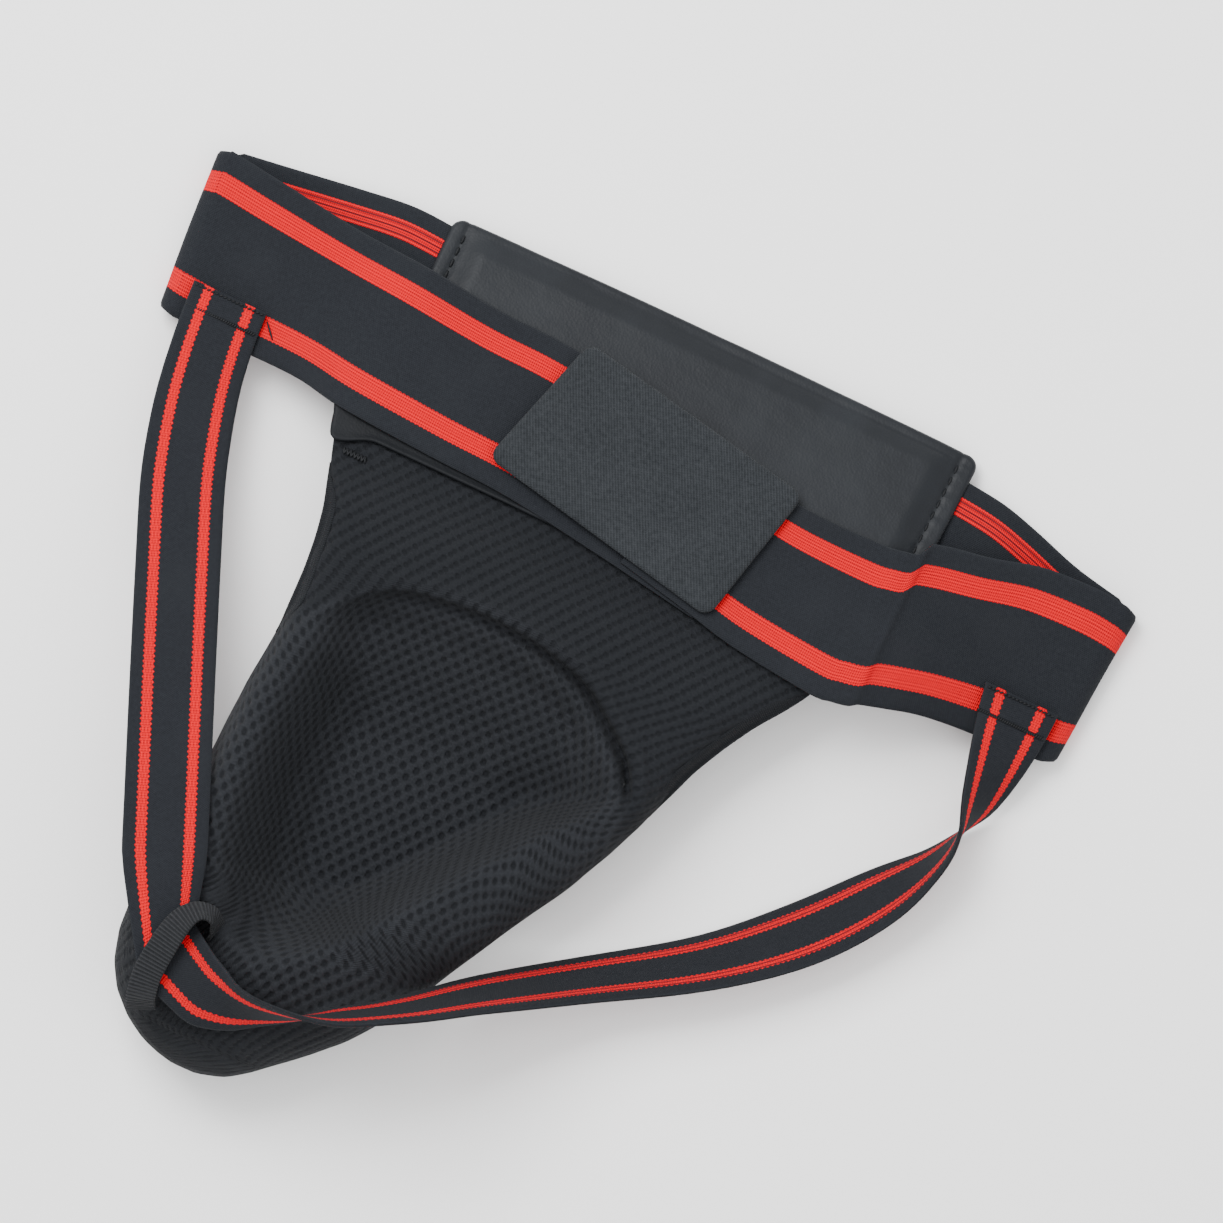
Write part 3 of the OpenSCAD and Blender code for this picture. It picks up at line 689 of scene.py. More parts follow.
def pouch_lining():
    """The mesh lining, read off the CAD lining and given its knitted relief."""
    low, high = [np.array(c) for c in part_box("mesh_lining")]
    pitch = 0.62 * MM
    rows = int((high[1] - low[1]) / pitch)
    # the cloth goes on under the pocket's edge strip, past the CAD lining
    rows += 10
    levels = np.linspace(high[1] + 6 * MM, low[1] + 0.35 * MM, rows)
    probe = np.minimum(levels, high[1] - 0.3 * MM)
    left, right = row_limits("mesh_lining", probe)
    left, right = soften(left, 10), soften(right, 10)
    left = run_on(levels, left, CORNER_Y - 14 * MM, CORNER_Y)
    cols = int((high[0] - low[0]) / pitch)
    share = np.linspace(0, 1, cols)
    inset = 0.25 * MM
    x = (left + inset)[:, None] * (1 - share) + (right - inset)[:, None] * share
    y = np.repeat(levels[:, None], cols, axis=1)
    tree = node_tree("mesh_lining")
    z = np.array([[height(tree, a, b, ABOVE, np.nan) for a in row] for row, b in zip(x, probe)])
    for i in range(rows):
        found = np.flatnonzero(~np.isnan(z[i]))
        z[i] = np.interp(np.arange(cols), found, z[i, found])
    z += (slope_z(levels) - slope_z(probe))[:, None]
    edge = z[:, :1].copy(), z[:, -1:].copy()
    floor = z - 0.15 * MM
    for _ in range(6):
        z[1:-1, 1:-1] = (z[:-2, 1:-1] + z[2:, 1:-1] + z[1:-1, :-2] + z[1:-1, 2:] + 2 * z[1:-1, 1:-1]) / 6
    z = np.maximum(z, floor)
    z[:, :1], z[:, -1:] = edge
    # fabric coordinates: lengths along the cloth, so its holes crowd together on the steep walls
    reach = np.sqrt(np.diff(x, axis=1) ** 2 + np.diff(z, axis=1) ** 2)
    u = np.concatenate([np.zeros((rows, 1)), np.cumsum(reach, axis=1)], axis=1)
    anchor = np.clip((-30 * MM - x[:, 0]) / np.maximum(x[:, -1] - x[:, 0], 1e-6), 0, 1) * (cols - 1)
    start = np.array([np.interp(anchor[i], np.arange(cols), u[i]) for i in range(rows)])
    u = u - start[:, None]
    lattice_x = np.arange(low[0], high[0], 1.0 * MM)
    depth = np.array([[np.interp(cx, x[i], z[i]) for cx in lattice_x] for i in range(rows)])
    drift = np.vstack([np.zeros((1, len(lattice_x))),
                       np.cumsum(np.hypot(np.diff(depth, axis=0), np.diff(levels)[:, None]), axis=0)])
    v = np.array([np.interp(x[i], lattice_x, drift[i]) for i in range(rows)])
    uv = np.dstack([u, v])
    points = np.dstack([x, y, z])
    normal = unit(np.cross(np.gradient(points, axis=1), np.gradient(points, axis=0)))
    normal *= np.sign(normal[..., 2:3] + 1e-9)
    first = np.cos(2 * np.pi * (u / HOLE_ACROSS + v / HOLE_ALONG))
    second = np.cos(2 * np.pi * (u / HOLE_ACROSS - v / HOLE_ALONG))
    panel = ease((np.hypot(x - BOWL_X, y - BOWL_Y) - BOWL_R) / (6 * MM) + 0.5)
    lattice = (first + second) / 2 * (1 - panel) + (0.75 * first + 0.25 * second) * panel
    tip = ease((levels - low[1]) / (22 * MM))[:, None]
    fade = ease(np.minimum(share, 1 - share) * (right - left)[:, None] / (5 * MM)) * (0.2 + 0.8 * tip)
    sink = ease((lattice + 0.1) / 0.9) * 0.5 * MM
    ridge = ease((-lattice - 0.2) / 0.8) * 0.25 * MM
    puff = rough(x, y, 60, 3.0) * 0.35 * MM * tip
    flat = normal[..., 2] ** 2
    points = points + normal * ((ridge - sink * flat) * fade * (1 - 0.5 * panel) + puff)[..., None]
    lift, lean = lip_relief(x, y)
    toward = unit(np.dstack([BOWL_X - x, BOWL_Y - y]))
    points[..., :2] += toward * (lean * fade)[..., None]
    points[..., 2] += lift * fade
    keep_above(points, np.abs(lift) > 0.1 * MM, ("hard_cup", "rim_foam", "bowl_foam", "panel_foam"), 0.5 * MM)
    # turn the cloth under at the outline
    under = node_tree("cup_outer_cover")
    wraps = []
    for side, boundary, inward in ((0, left, 1), (-1, right, -1)):
        # the flat panel's edge turns under only a little; the bowl's goes down to the cover
        deepest = points[:, side, 2] - (4 + 60 * ease((48 * MM - levels) / (40 * MM))) * MM
        strip = []
        for d in (0.15, 0.9, 2.0, 3.5, 5.2):
            xs = boundary + inward * (inset + min(d * MM, 1) * np.ones(rows))
            xs = np.where((right - left) > 2 * d * MM, xs, (left + right) / 2)
            zs = np.array([height(under, a, b, BELOW, 0.02) for a, b in zip(xs, levels)])
            zs = np.maximum(soften(zs, 6) - 0.5 * MM * (1 if d > 0.5 else 0), deepest)
            strip.append(np.stack([xs, levels, zs], axis=-1))
        wraps.append(np.stack(strip, axis=1))
    grown = np.concatenate([wraps[0][:, ::-1], points, wraps[1]], axis=1)
    # and at the tip
    nose = [grown]
    for t in (0.3, 0.6, 0.85, 1.0):
        row = grown[-1].copy()
        row[:, 1] += 4 * MM * t * t
        low_z = np.array([height(under, a, b, BELOW, 2 * MM) for a, b in row[:, :2]]) - 0.3 * MM
        row[:, 2] = row[:, 2] * (1 - t) + np.minimum(low_z, row[:, 2]) * t
        nose.append(row[None])
    spans = [0.0015, 0.0025, 0.0036, 0.0052, 0.007]
    uv_left = np.dstack([u[:, :1] - np.array(spans[::-1]), np.repeat(v[:, :1], 5, axis=1)])
    uv_right = np.dstack([u[:, -1:] + np.array(spans), np.repeat(v[:, -1:], 5, axis=1)])
    uv = np.concatenate([uv_left, uv, uv_right], axis=1)
    grown = np.concatenate(nose)
    uv = np.concatenate([uv] + [uv[-1:] + np.array([0, 0.0015 * (k + 1)]) for k in range(len(nose) - 1)])
    grown[..., 2] = np.maximum(grown[..., 2], 0.4 * MM)
    faces = grid_faces(grown.shape[0], grown.shape[1])
    piece = link("mesh_lining_cloth", grown.reshape(-1, 3), faces, AIR_MESH, uv.reshape(-1, 2))
    fix_normals(piece)
    cloth = piece.modifiers.new("thickness", "SOLIDIFY")
    cloth.thickness = 0.35 * MM
    cloth.offset = -1
    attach(piece, ROOT)
    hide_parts("mesh_lining")
    return levels, left, right, tree


def outer_cover():
    """PU cover on the far side of the cup, read off the CAD cover."""
    low, high = [np.array(c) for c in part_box("cup_outer_cover")]
    pitch = 1.6 * MM
    rows = int((high[1] - low[1]) / pitch)
    levels = np.linspace(high[1] - 0.2 * MM, low[1] + 0.4 * MM, rows)
    left, right = row_limits("cup_outer_cover", levels)
    left, right = soften(left, 4), soften(right, 4)
    cols = 110
    share = np.linspace(0, 1, cols)
    inset = 0.6 * MM
    x = (left + inset)[:, None] * (1 - share) + (right - inset)[:, None] * share
    y = np.repeat(levels[:, None], cols, axis=1)
    tree = node_tree("cup_outer_cover")
    z = np.array([[height(tree, a, b, BELOW, 0.02) for a, b in zip(xr, yr)] for xr, yr in zip(x, y)])
    for _ in range(3):
        z[1:-1, 1:-1] = (z[:-2, 1:-1] + z[2:, 1:-1] + z[1:-1, :-2] + z[1:-1, 2:] + 2 * z[1:-1, 1:-1]) / 6
    inside = np.minimum(share, 1 - share) * (right - left)[:, None]
    seam = np.exp(-((inside - 11 * MM) / (1.1 * MM)) ** 2) * 0.6 * MM
    crease = rough(x, y, 38, 7.0) * 0.5 * MM * ease((z - 0.4 * MM) / (4 * MM))
    outer = np.dstack([x, y, np.maximum(z + seam + crease, 0)])
    inner = outer + np.array([0, 0, 1.2 * MM])
    uv = np.dstack([x, y])
    piece = closed_sheet("cup_outer_leather", inner, outer, SHELL_LEATHER, uv, uv)
    fix_normals(piece)
    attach(piece, ROOT)
    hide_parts("cup_outer_cover")
    stitches = []
    for side in (left, right):
        inward = 1 if side is left else -1
        marks = np.arange(0, rows - 3, 2)
        for k in marks:
            if (right - left)[k] < 40 * MM:
                continue
            a = np.array([side[k] + inward * 12.5 * MM, levels[k], 0])
            b = np.array([side[k + 1] + inward * 12.5 * MM, levels[k + 1], 0])
            a[2] = height(tree, a[0], a[1], BELOW, 0.02) - 0.15 * MM
            b[2] = height(tree, b[0], b[1], BELOW, 0.02) - 0.15 * MM
            stitches.append((a, b, (0, 0, -1)))
    thread = capsules("cup_cover_stitching", stitches, 0.3 * MM, THREAD, bow=0.1 * MM)
    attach(thread, ROOT)


def side_bindings(levels, left, right, tree):
    """Narrow smooth binding that wraps the free edges of the upper panel."""
    for name, edge, inward, bottom in (("side_binding_left", left, 1, -4 * MM),
                                       ("side_binding_right", right, -1, -8 * MM)):
        keep = [k for k in range(0, len(levels), 2) if bottom < levels[k] < 56 * MM]
        profile = [(4.8, 0.1), (4.3, 0.42), (2.6, 0.5), (1.0, 0.45), (0.1, 0.25), (-0.4, -0.5), (-0.6, -1.8),
                   (-0.3, -3.2), (0.8, -4.6), (2.6, -5.3)]
        top = []
        path = np.array([(edge[k], levels[k], 0) for k in keep])
        out = unit(np.cross(np.gradient(path, axis=0), (0, 0, 1)))
        out *= np.sign(out[:, :1] * -inward + 1e-9)
        ends = ease(np.minimum(np.arange(len(path)), len(path) - 1 - np.arange(len(path))) / 12)
        reach = (0.5 + 3.0 * ends) * MM
        ground = soften(np.array([height(tree, edge[k] + inward * reach[i], levels[k], ABOVE, 0.03)
                                  for i, k in enumerate(keep)]), 8)
        length = np.concatenate([[0], np.cumsum(np.linalg.norm(np.diff(path, axis=0), axis=1))])
        uv = []
        for k, at in enumerate(path):
            taper = ends[k] * (1 - 0.2 * math.sin(math.pi * k / (len(path) - 1)))
            ring = []
            rest = ground[k]
            for d, h in profile:
                point = at - out[k] * d * MM * taper
                if d > 0.5 and h > 0:
                    rest = height(tree, point[0], point[1], ABOVE, rest)
                ring.append((point[0], point[1], rest + h * MM * taper))
            top.append(ring)
            uv.append([(0.001 * j, length[k]) for j in range(len(profile))])
        top = soften(np.array(top), 5)
        piece = link(name + "_tape", top.reshape(-1, 3), grid_faces(*top.shape[:2]), HEM_TAPE,
                     np.array(uv).reshape(-1, 2))
        fix_normals(piece)
        thick = piece.modifiers.new("thickness", "SOLIDIFY")
        thick.thickness = 0.5 * MM
        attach(piece, ROOT)
        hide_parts(name)


def edge_strip():
    """Smooth strip from under the waistband to the upper edge of the mesh, with a rolled lower edge.

    Its left end flares out to the corner of the pouch.
    """
    across = np.linspace(0, 1, 120)
    profile = [(-7.5, 0.3), (-5.0, 0.4), (-3.0, 0.4), (-1.2, 0.4), (0.3, 0.45), (1.4, 0.6), (2.1, 1.0),
               (2.7, 0.95), (3.1, 0.2)]
    flare = [-104.3, -103.5, -102.7, -101.8, -100.9, -100.0, -99.3, -98.6, -97.6]
    base = 83.9 * MM
    columns = []
    for (down, out), start in zip(profile, flare):
        x = start * MM + (84 - start) * MM * across
        dip = 1.5 * MM * ease((x + 40 * MM) / (90 * MM))
        hang = 5 * MM * (1 - ease((x + 98 * MM) / (14 * MM))) * ease((down + 2) / 4)
        columns.append(on_slope(x, base + down * MM + dip + hang, out * MM + 0 * x))
    grid = np.stack(columns, axis=1)
    uv = np.dstack([np.broadcast_to(np.arange(len(profile)) * MM, grid.shape[:2]), grid[..., 0]])
    # the strip's material carries a painted shadow of the waistband
    piece = link("pocket_edge_leather", grid.reshape(-1, 3), grid_faces(*grid.shape[:2]), BINDING_PAINTED_SHADOW,
                 uv.reshape(-1, 2))
    fix_normals(piece)
    thick = piece.modifiers.new("thickness", "SOLIDIFY")
    thick.thickness = 0.5 * MM
    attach(piece, ROOT)
    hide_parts("pocket_edge_strip")


def corner_tacks(tree):
    """Dense bar tacks at the two upper corners of the mesh."""
    stitches = []
    for corner in (-1, 1):
        x0 = -93 * MM if corner < 0 else 76 * MM
        for k in range(13):
            x = x0 + k * 0.65 * MM
            lean = 0.35 * MM * (1 if k % 2 else -1)
            ends = []
            for y in (60.2 * MM, 62.6 * MM):
                z = height(tree, x, y, ABOVE, slope_z(y))
                ends.append((x + lean * (1 if y > 61 * MM else -1), y, z + 0.5 * MM))
            stitches.append((ends[0], ends[1], (0, 0, 1)))
    piece = capsules("corner_bar_tack_threads", stitches, 0.36 * MM, THREAD, bow=0.3 * MM)
    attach(piece, ROOT)
    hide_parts("corner_bar_tacks")


# ---------------------------------------------------------------- abdominal pad
def pad_surface(x, s, left, right, bottom):
    """Share of the full thickness at a point of the pad: thin hems, full middle."""
    ends = ease((np.minimum(x - left, right - x) - 5.5 * MM) / (10 * MM))
    top = ease((s - 2.5 * MM) / (9 * MM))
    low = ease((bottom - s - 1.0 * MM) / (8 * MM))
    return 0.34 + 0.66 * ends * (0.25 + 0.75 * top) * (0.3 + 0.7 * low)


def pad_shape(name, inset, shrink, material, detail):
    """Closed crowned pad between its inner and outer face."""
    left, right = PAD_LOW[0] + inset, PAD_HIGH[0] - inset
    depth = 89.6 * MM
    across = np.linspace(0, 1, 230)
    down = np.linspace(0, 1, 110)
    a, d = np.meshgrid(across, down, indexing="ij")
    # the right end leans in by 4 mm at its lower corner, and the top edge rises a little in the middle
    s = inset + d * (depth - 2 * inset)
    span_right = right - 4 * MM * d
    x = left * (1 - a) + span_right * a
    arch = (1 - (2 * a - 1) ** 2) * 0.8 * MM - 0.9 * MM
    s = s - arch * (1 - d)
    corner = 4.5 * MM
    # pull the four corners in to arcs
    dx = np.minimum(x - left, span_right - x)
    ds = np.minimum(s - s[:, :1], s[:, -1:] - s)
    px, ps = np.clip(corner - dx, 0, None), np.clip(corner - ds, 0, None)
    reach = np.hypot(px, ps)
    both = (px > 0) & (ps > 0)
    pull = np.where(both, np.maximum(px, ps) / np.maximum(reach, 1e-9), 1)
    x = x + np.where(both, np.where(a < 0.5, 1, -1) * px * (1 - pull), 0)
    s = s + np.where(both, np.where(d < 0.5, 1, -1) * ps * (1 - pull), 0)
    full = pad_surface(x, s, PAD_LOW[0], PAD_HIGH[0] - 4 * MM * d, depth)
    edge = np.clip(np.minimum(dx, ds) / (1.6 * MM), 0, 1)
    full = full * (0.35 + 0.65 * np.sqrt(1 - (1 - edge) ** 2)) * shrink
    half = PAD_T / 2
    top = -half + half * full
    low = -half - half * full
    if detail:
        seam_x = PAD_HIGH[0] - 4 * MM * d - 6.2 * MM
        groove = np.exp(-((x - seam_x) / (0.8 * MM)) ** 2) + np.exp(-((x - PAD_LOW[0]
                                                                       - 5.5 * MM) / (0.9 * MM)) ** 2)
        pucker = np.cos(2 * np.pi * s / (4.6 * MM)) * np.exp(-((x - seam_x) / (4 * MM)) ** 2)
        hem = np.exp(-((s - 4.6 * MM) / (0.7 * MM)) ** 2) * ease((a - 0.35) / 0.2)
        wide = rough(x, s, 22, 5.0) * 0.6 * MM
        fine = rough(x, s * 2.5, 90, 9.0) * 0.18 * MM
        near = np.exp(-(np.minimum(dx, ds) / (14 * MM)) ** 2)
        top = top - groove * 0.7 * MM - hem * 0.45 * MM + pucker * 0.12 * MM + (wide + fine) * (0.35
                                                                                                + 0.65 * near)
        top = np.minimum(top, 0.35 * MM)
        low = low + groove * 0.5 * MM
    upper = on_slope(x, s, top)
    lower = on_slope(x, s, low)
    lower[..., 2] = np.maximum(lower[..., 2], 0.0)
    uv = np.dstack([x, s])
    return fix_normals(closed_sheet(name, upper, lower, material, uv, uv + 1))


def abdominal_pad():
    pad = pad_shape("pad_leather_cover", 0.0, 1.0, PAD_LEATHER, True)
    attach(pad, ROOT)
    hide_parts("pad_inner_cover", "pad_outer_cover")
    core = pad_shape("pad_foam_core", 7 * MM, 0.62, FOAM, False)
    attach(core, ROOT)
    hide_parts("pad_foam")
    stitches = []
    for k in range(17):
        s = (6 + 4.6 * k) * MM
        for x, depth in ((PAD_HIGH[0] - 6.2 * MM - 4 * MM * s / (89.6 * MM), 3.7),
                         (PAD_LOW[0] + 5.5 * MM, 3.4)):
            a = on_slope(np.array(x), np.array(s), np.array(-depth * MM))
            b = on_slope(np.array(x), np.array(s + 3.2 * MM), np.array(-depth * MM))
            stitches.append((a, b, SLOPE_NORMAL))
    thread = capsules("pad_end_threads", stitches, 0.42 * MM, THREAD, bow=0.25 * MM)
    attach(thread, ROOT)
    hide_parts("pad_end_stitching")


# ---------------------------------------------------------------- waistband
FOLD_X = -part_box("waistband_fold_left")[0][0]
FAR_Z = BAND_T / 2
FOLD_Z = 11 * MM


def mm(points):
    return np.array(points, dtype=float) * MM


def over(y, lift=1.8):
    """Height in millimetres of the band where it lies on the sloping pad at this y, in millimetres."""
    return slope_z(y * MM) / MM + lift


def front_bands():
    """Front half of the waistband: the inner face shows."""
    fold = FOLD_X / MM - 8
    left = ribbon(
        "waistband_front_left",
        spline(mm([[-fold, 139, 0.9], [-150, 141.5, 1.5], [-125, 145, 3.4], [-107, 147, 5.0],
                   [-91, 146.3, 5.2]]), 12),
        spline(mm([[-fold + 4, 79.5, 0.9], [-150, 82, 1.5], [-125, 85, 6], [-107, 86.5, 13.5],
                   [-91, 86, 17.6]]), 12),
        1.6 * MM, BAND_ELASTIC, BAND_WIDTH, inner_up=True)
    right = ribbon(
        "waistband_front_right",
        spline(mm([[fold, 127.5, 0.9], [150, 131, 1.3], [132, 136.5, 2.6], [118, 140, 5.0],
                   [103, 141.6, 6.4]]), 12),
        spline(mm([[fold - 5, 67.5, 0.9], [150, 71.5, 2], [132, 77, 7], [118, 80.5, 13.5],
                   [103, 82, 18.6]]), 12),
        1.6 * MM, BAND_ELASTIC, BAND_WIDTH, inner_up=False)
    for piece, node in ((left, "front_band_left"), (right, "front_band_right")):
        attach(piece, ROOT)
        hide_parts(node)


def fold_turn(side, y, shift, tuck):
    """Half turn of the elastic from the far to the near layer, in millimetres. Its edge tucks in a little."""
    middle = (FAR_Z + FOLD_Z) / 2 / MM
    radius = (FOLD_Z - FAR_Z) / 2 / MM
    reach = 8 - 0.9
    turn = []
    for k in range(1, 12):
        angle = math.radians(-90 + 15 * k)
        turn.append([side * (FOLD_X / MM - 8 - shift + reach * math.cos(angle)),
                     y + tuck * math.cos(angle) ** 2,
                     middle + radius * math.sin(angle)])
    return turn


def rear_bands():
    """Fold and rear half of the waistband, one length of elastic on each side."""
    start = FOLD_X / MM - 8
    left = ribbon(
        "waistband_rear_left",
        spline(mm([[-start, 139, 0.9]] + fold_turn(-1, 137.8, 0, -1.6)
                  + [[-150, 135.2, 11.7], [-120, 131.5, 13.8], [-93, 129.7, over(129.7, 2)],
                     [-65, 126.8, over(126.8)],
                     [-36, 125.6, over(125.6, 1.5)], [8, 118.5, over(118.5, 1)],
                     [40, 113.5, over(113.5, 1)]]), 8),
        spline(mm([[-start + 4, 79.5, 0.9]] + fold_turn(-1, 78, 4, 1.6)
                  + [[-150, 77.2, 13], [-120, 77, 21], [-100, 74, over(74)], [-65, 71.7, over(71.7)],
                     [-36, 70.3, over(70.3, 1.5)], [2, 65.2, over(65.2, 1)], [38, 59.6, over(59.6, 1)]]), 8),
        BAND_T, BAND_ELASTIC, BAND_WIDTH, inner_up=False,
        relief=lambda u, v: 0.35 * MM * np.sin(v / (19 * MM) + 2 * u) * np.sin(np.pi * u))
    crease = 0.9
    right = ribbon(
        "waistband_rear_right",
        spline(mm([[start, 127.5, 0.9]] + fold_turn(1, 126.3, 0, -2.2)
                  + [[160, 127.2, 11.4], [140, 126, 12.4], [122, 121.4, 15.5], [110, 119.2, 17.6],
                     [104, 117.8, 19.2], [101.6, 117, 20.2],
                     [100.2, 114.2, 22.6], [98.6, 111.8, over(112, 2.9)], [94, 110.6, over(111, 2.9)],
                     [86, 109.6, over(110, 2.3)], [60, 109.5, over(109.5)],
                     [38, 112.4, over(112.4, 2.8)], [14, 117.6, over(117.6, 2.8)]]), 8),
        spline(mm([[start - 5, 67.5, 0.9]] + fold_turn(1, 65.4, 4.5, 2.2)
                  + [[155, 64.4, 12], [138, 64, 14.5], [122, 62.3, 23], [110, 59.3, 31], [103.5, 57.5, 34.4],
                     [100.8, 56.6, 36.2], [99.4, 55.6, 37.3], [97.6, 54.8, over(55, 2.4)],
                     [92, 53.8, over(54, 2.6)],
                     [84, 53.2, over(53.3, 2.3)], [54, 56.6, over(56.6, 2)],
                     [34, 61, over(61, 2.8)], [8, 66.4, over(66.4, 2.8)]]), 8),
        BAND_T, BAND_ELASTIC, BAND_WIDTH, inner_up=True,
        relief=lambda u, v: crease * 0.35 * MM * np.sin(v / (16 * MM) + 3 * u) * np.sin(np.pi * u))
    for piece, body, side, names in ((left, REAR_LEFT, -1, ("rear_band_left", "waistband_fold_left")),
                                     (right, REAR_RIGHT, 1, ("rear_band_right", "waistband_fold_right"))):
        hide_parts(*names)
        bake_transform(piece)
    NODES["loop_patch"].data.materials.clear()
    NODES["loop_patch"].data.materials.append(LOOPS)


# ---------------------------------------------------------------- closing tab
TAB_CORNERS = mm([[-48, 78.5], [42.5, 60.5], [55, 112], [-33, 128.5]])


def tab_grid(inset, rows, cols, radius):
    """Plan points of the tab with rounded corners."""
    a, b = np.meshgrid(np.linspace(0, 1, cols), np.linspace(0, 1, rows), indexing="ij")
    foot_l, foot_r, head_r, head_l = TAB_CORNERS
    long_side = np.linalg.norm(foot_r - foot_l)
    short_side = np.linalg.norm(head_l - foot_l)
    da = np.minimum(a, 1 - a) * long_side
    db = np.minimum(b, 1 - b) * short_side
    pa, pb = np.clip(radius - da, 0, None), np.clip(radius - db, 0, None)
    both = (pa > 0) & (pb > 0)
    pull = np.where(both, np.maximum(pa, pb) / np.maximum(np.hypot(pa, pb), 1e-9), 1)
    a2 = a + np.where(both, np.where(a < 0.5, 1, -1) * pa * (1 - pull) / long_side, 0)
    b2 = b + np.where(both, np.where(b < 0.5, 1, -1) * pb * (1 - pull) / short_side, 0)
    a2 = inset / long_side + a2 * (1 - 2 * inset / long_side)
    b2 = inset / short_side + b2 * (1 - 2 * inset / short_side)
    low = foot_l + (foot_r - foot_l) * a2[..., None]
    high = head_l + (head_r - head_l) * a2[..., None]
    plan = low + (high - low) * b2[..., None]
    return plan, np.minimum(da, db), np.dstack([a2 * long_side, b2 * short_side])


def tab_layer(name, inset, low, high, material, bulge):
    plan, inside, uv = tab_grid(inset, 52, 92, 4.5 * MM)
    down = (PAD_TOP_Y - plan[..., 1]) / math.cos(TILT)
    edge = np.sqrt(1 - (1 - np.clip(inside / (1.3 * MM), 0, 1)) ** 2)
    swell = rough(plan[..., 0], plan[..., 1], 45, 2.0) * 0.4 * MM * bulge
    droop = bulge * 0.5 * MM * (1 - ease(inside / (6 * MM)))
    middle = (low + high) / 2
    top = middle + (high - middle) * (0.25 + 0.75 * edge) + swell - droop
    bottom = middle - (middle - low) * (0.6 + 0.4 * edge) + swell - droop
    piece = closed_sheet(name, on_slope(plan[..., 0], down, top), on_slope(plan[..., 0], down, bottom),
                         material, uv, uv)
    return fix_normals(piece)


def closing_tab():
    """Hook tape: twill back above, hooks below."""
    lift = 5.3 * MM
    back = tab_layer("closing_tab_tape", 0.0, lift, lift + 1.5 * MM, TAPE, 1.0)
    hooks = tab_layer("closing_tab_hooks", 1.2 * MM, lift - 1.1 * MM, lift - 0.05 * MM, HOOKS, 1.0)
    for piece, names in ((back, ("hook_tab_base", "hook_tab_flap")), (hooks, ("hook_field",))):
        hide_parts(*names)
        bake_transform(piece)


# ---------------------------------------------------------------- leg strap
LEFT_RUN = [[-147.5, 60, 18.5, 0, 28], [-140, 33, 25, 0, 29], [-129, 6, 33, 0, 29], [-113, -32, 43, 0, 29],
            [-96, -72, 52, 0, 29], [-88, -91, 56, 0, 29]]
RIGHT_RUN = [[-60.4, -123.4, 58.6, 20, 27], [-50.4, -123.9, 60.4, 41, 26], [-40.4, -122.4, 62.2, 64, 25],
             [-29.1, -119, 63, 80, 24], [-19, -115, 63, 95, 23], [-12.5, -111.6, 62.2, 103, 23],
             [-2.3, -105.8, 60.2, 106, 23], [10.8, -97.6, 53, 112, 24],
             [28.3, -85.6, 36.6, 118, 26], [58, -67, 16, 122, 28], [92, -45, 13, 130, 28],
             [118, -22, 12, 140, 28],
             [136, 0, 11.5, 135, 27], [147, 17, 13, 112, 26], [152, 31, 14, 90, 25], [153.5, 44, 15, 55, 25]]
KEEPER_LINE = [[-70.5, -104, 57.5], [-80, -128, 57.5]]


def strap_edges(stations, steps):
    """The two edges of a strap that follows stations [x, y, z, roll, width], in millimetres."""
    path = spline(stations, steps)
    along = np.gradient(path[:, :3], axis=0)
    along = unit(along)
    level = unit(np.cross((0, 0, 1), along))
    roll = np.radians(path[:, 3:4])
    across = level * np.cos(roll) + np.cross(along, level) * np.sin(roll)
    return path[:, :3] + across * path[:, 4:5] / 2, path[:, :3] - across * path[:, 4:5] / 2


def joined(parts):
    """Edge samples with stray corners taken out, ready for a smooth curve."""
    return soften(np.vstack(parts), 3)


def leg_strap():
    end_lift = 2.4
    left_a, left_b = strap_edges(LEFT_RUN, 6)
    sewn_a = [[-137, 92.4, 15.4 + end_lift], [-136.8, 84, 16 + end_lift], [-136.6, 77, 16.6 + end_lift]]
    sewn_b = [[-164.3, 92.4, 12.0 + end_lift], [-164.2, 84, 12.4 + end_lift], [-164, 77, 12.9 + end_lift]]
    left = ribbon("leg_strap_left_run", joined([sewn_a, left_a, KEEPER_LINE[:1]]) * MM,
                  joined([sewn_b, left_b, KEEPER_LINE[1:]]) * MM, STRAP_T, STRAP_ELASTIC, STRAP_WIDTH,
                  columns=20, inner_up=False)
    right_a, right_b = strap_edges(RIGHT_RUN, 6)
    top_a = [[141.8, 63.6, 16.8], [140.2, 68, 17.2], [138.6, 73, 17.4], [137.8, 82.4, 17.2]]
    top_b = [[164.4, 63.6, 14.6], [164.8, 68, 14.6], [165, 73, 14.6], [165.2, 82.4, 14.6]]
    right = ribbon("leg_strap_right_run",
                   joined([[np.array(KEEPER_LINE[0]) + (0.4, -0.2, 0)], right_a, top_a]) * MM,
                   joined([[np.array(KEEPER_LINE[1]) + (0.4, -0.2, 0)], right_b, top_b]) * MM, STRAP_T,
                   STRAP_ELASTIC, STRAP_WIDTH, columns=20, inner_up=False)
    for piece, body, nodes, far, near in (
            (left, REAR_LEFT, ("leg_strap_left", "strap_end_left"), (-0.150, 0.074, 0.02),
             (-0.135, 0.020, 0.02)),
            (right, REAR_RIGHT, ("leg_strap_right", "strap_end_right"), (0.152, 0.064, 0.02),
             (0.152, 0.012, 0.02))):
        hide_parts(*nodes)
        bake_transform(piece)


def zigzag(x0, x1, y, z0, z1, count, height):
    """Bar stitching between two points of a strap's end."""
    segments = []
    for k in range(count):
        a, b = k / count, (k + 0.8) / count
        segments.append(((x0 + (x1 - x0) * a, y - height / 2, z0 + (z1 - z0) * a),
                         (x0 + (x1 - x0) * b, y + height / 2, z0 + (z1 - z0) * b), (0, 0, 1)))
    return segments


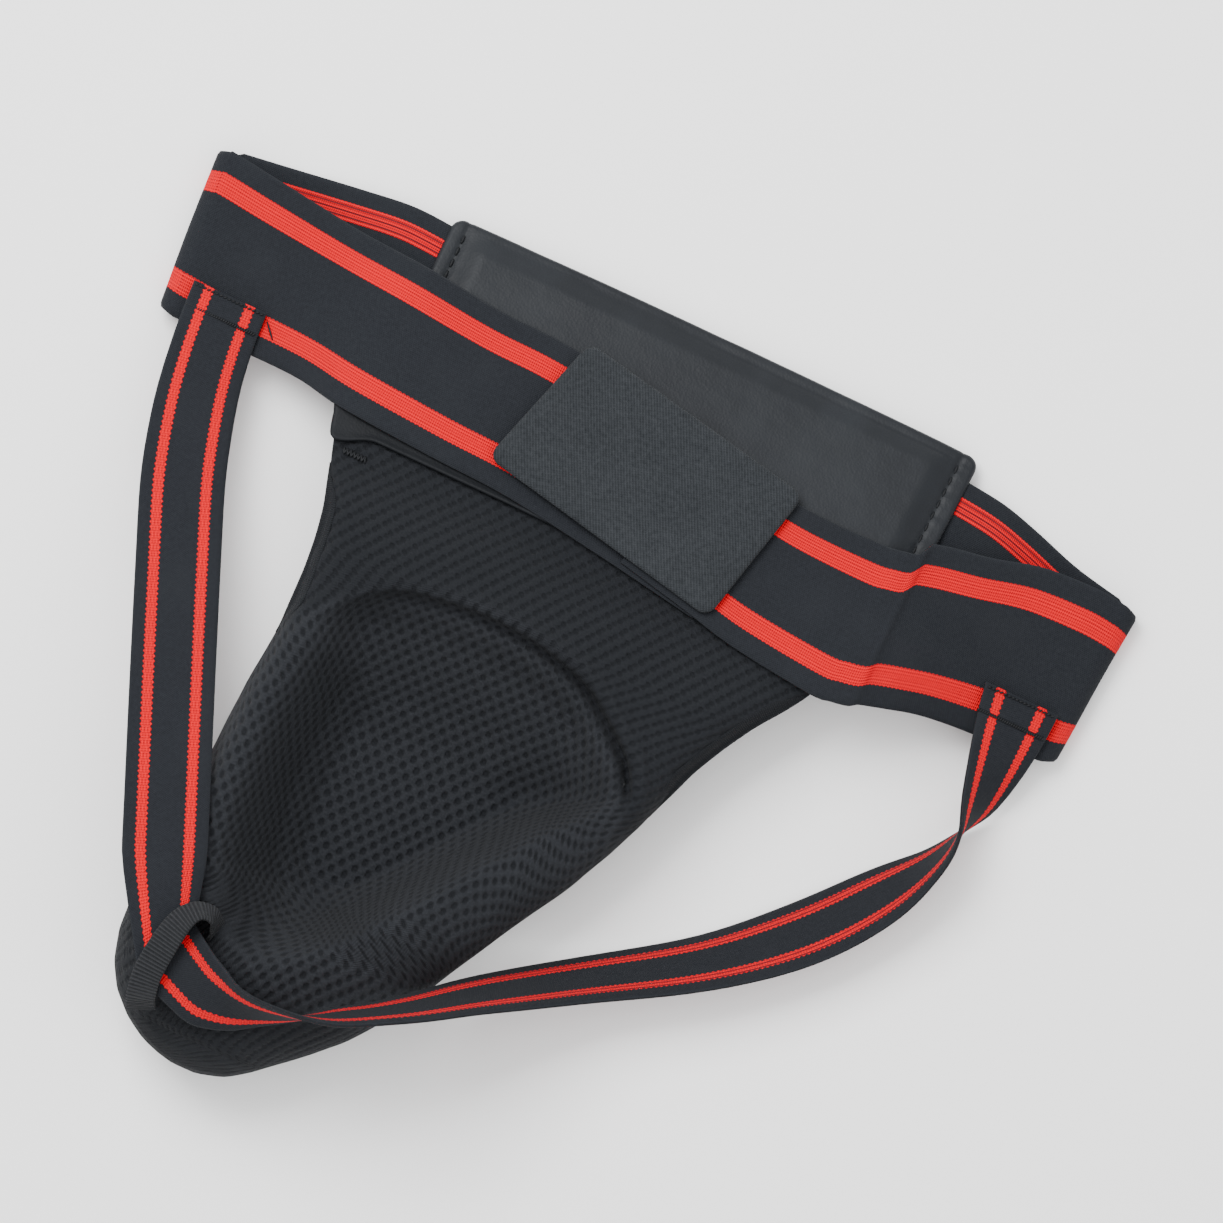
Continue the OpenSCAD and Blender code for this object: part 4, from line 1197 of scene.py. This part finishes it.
def strap_threads():
    left = zigzag(-163.5 * MM, -137.5 * MM, 84 * MM, 15.5 * MM, 19.3 * MM, 30, 1.3 * MM)
    left += zigzag(-163.5 * MM, -137.5 * MM, 91.4 * MM, 15.3 * MM, 18.9 * MM, 17, 0.7 * MM)
    left.append(((-135.8 * MM, 90 * MM, 16.6 * MM), (-131.4 * MM, 85 * MM, 17.6 * MM), (0, 0, 1)))
    right = zigzag(139.2 * MM, 164.2 * MM, 72.8 * MM, 18.3 * MM, 15.6 * MM, 30, 1.3 * MM)
    right += zigzag(139.2 * MM, 164.2 * MM, 81.2 * MM, 18.2 * MM, 15.7 * MM, 17, 0.7 * MM)
    for name, segments, body, node in (("strap_end_threads_left", left, REAR_LEFT, "strap_stitching_left"),
                                       ("strap_end_threads_right", right, REAR_RIGHT,
                                        "strap_stitching_right")):
        piece = capsules(name, segments, 0.38 * MM, THREAD, bow=0.15 * MM)
        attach(piece, body)
        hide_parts(node)


def keeper():
    """Ribbed webbing loop over the strap at the tip of the cup."""
    route = [[-62.8, -105, 49, 62, 9], [-63.6, -102, 55, 64, 9], [-66.4, -99, 60, 62, 9],
             [-71, -99.4, 62.6, 52, 9.5],
             [-74.8, -105, 63, 32, 10], [-76.9, -115.8, 62.4, 12, 10], [-77.6, -126, 61, 4, 10],
             [-76.6, -133.4, 57.5, 0, 10], [-75.6, -136.6, 52, 0, 10], [-75, -138, 47.5, 0, 10]]
    a, b = strap_edges(route, 10)
    piece = ribbon("strap_keeper_webbing", soften(a, 3) * MM, soften(b, 3) * MM, 1.3 * MM, WEBBING, 10 * MM,
                   step=0.5 * MM, columns=14,
                   relief=lambda u, v: 0.1 * MM * np.cos(2 * np.pi * v / (1.25 * MM)) * np.ones_like(u))
    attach(piece, ROOT)
    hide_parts("strap_keeper")


# ---------------------------------------------------------------- carried-over nodes
def repaint(names, material):
    for name in names:
        data = NODES[name].data
        data.materials.clear()
        data.materials.append(material)


set_camera()
set_stage()
LEVELS, LEFT_EDGE, RIGHT_EDGE, LINING = pouch_lining()
outer_cover()
side_bindings(LEVELS, LEFT_EDGE, RIGHT_EDGE, LINING)
edge_strip()
corner_tacks(LINING)
abdominal_pad()
front_bands()
rear_bands()
closing_tab()
leg_strap()
strap_threads()
keeper()
repaint(("bowl_foam", "rim_foam", "panel_foam"), FOAM)
repaint(("hard_cup",), PLASTIC)
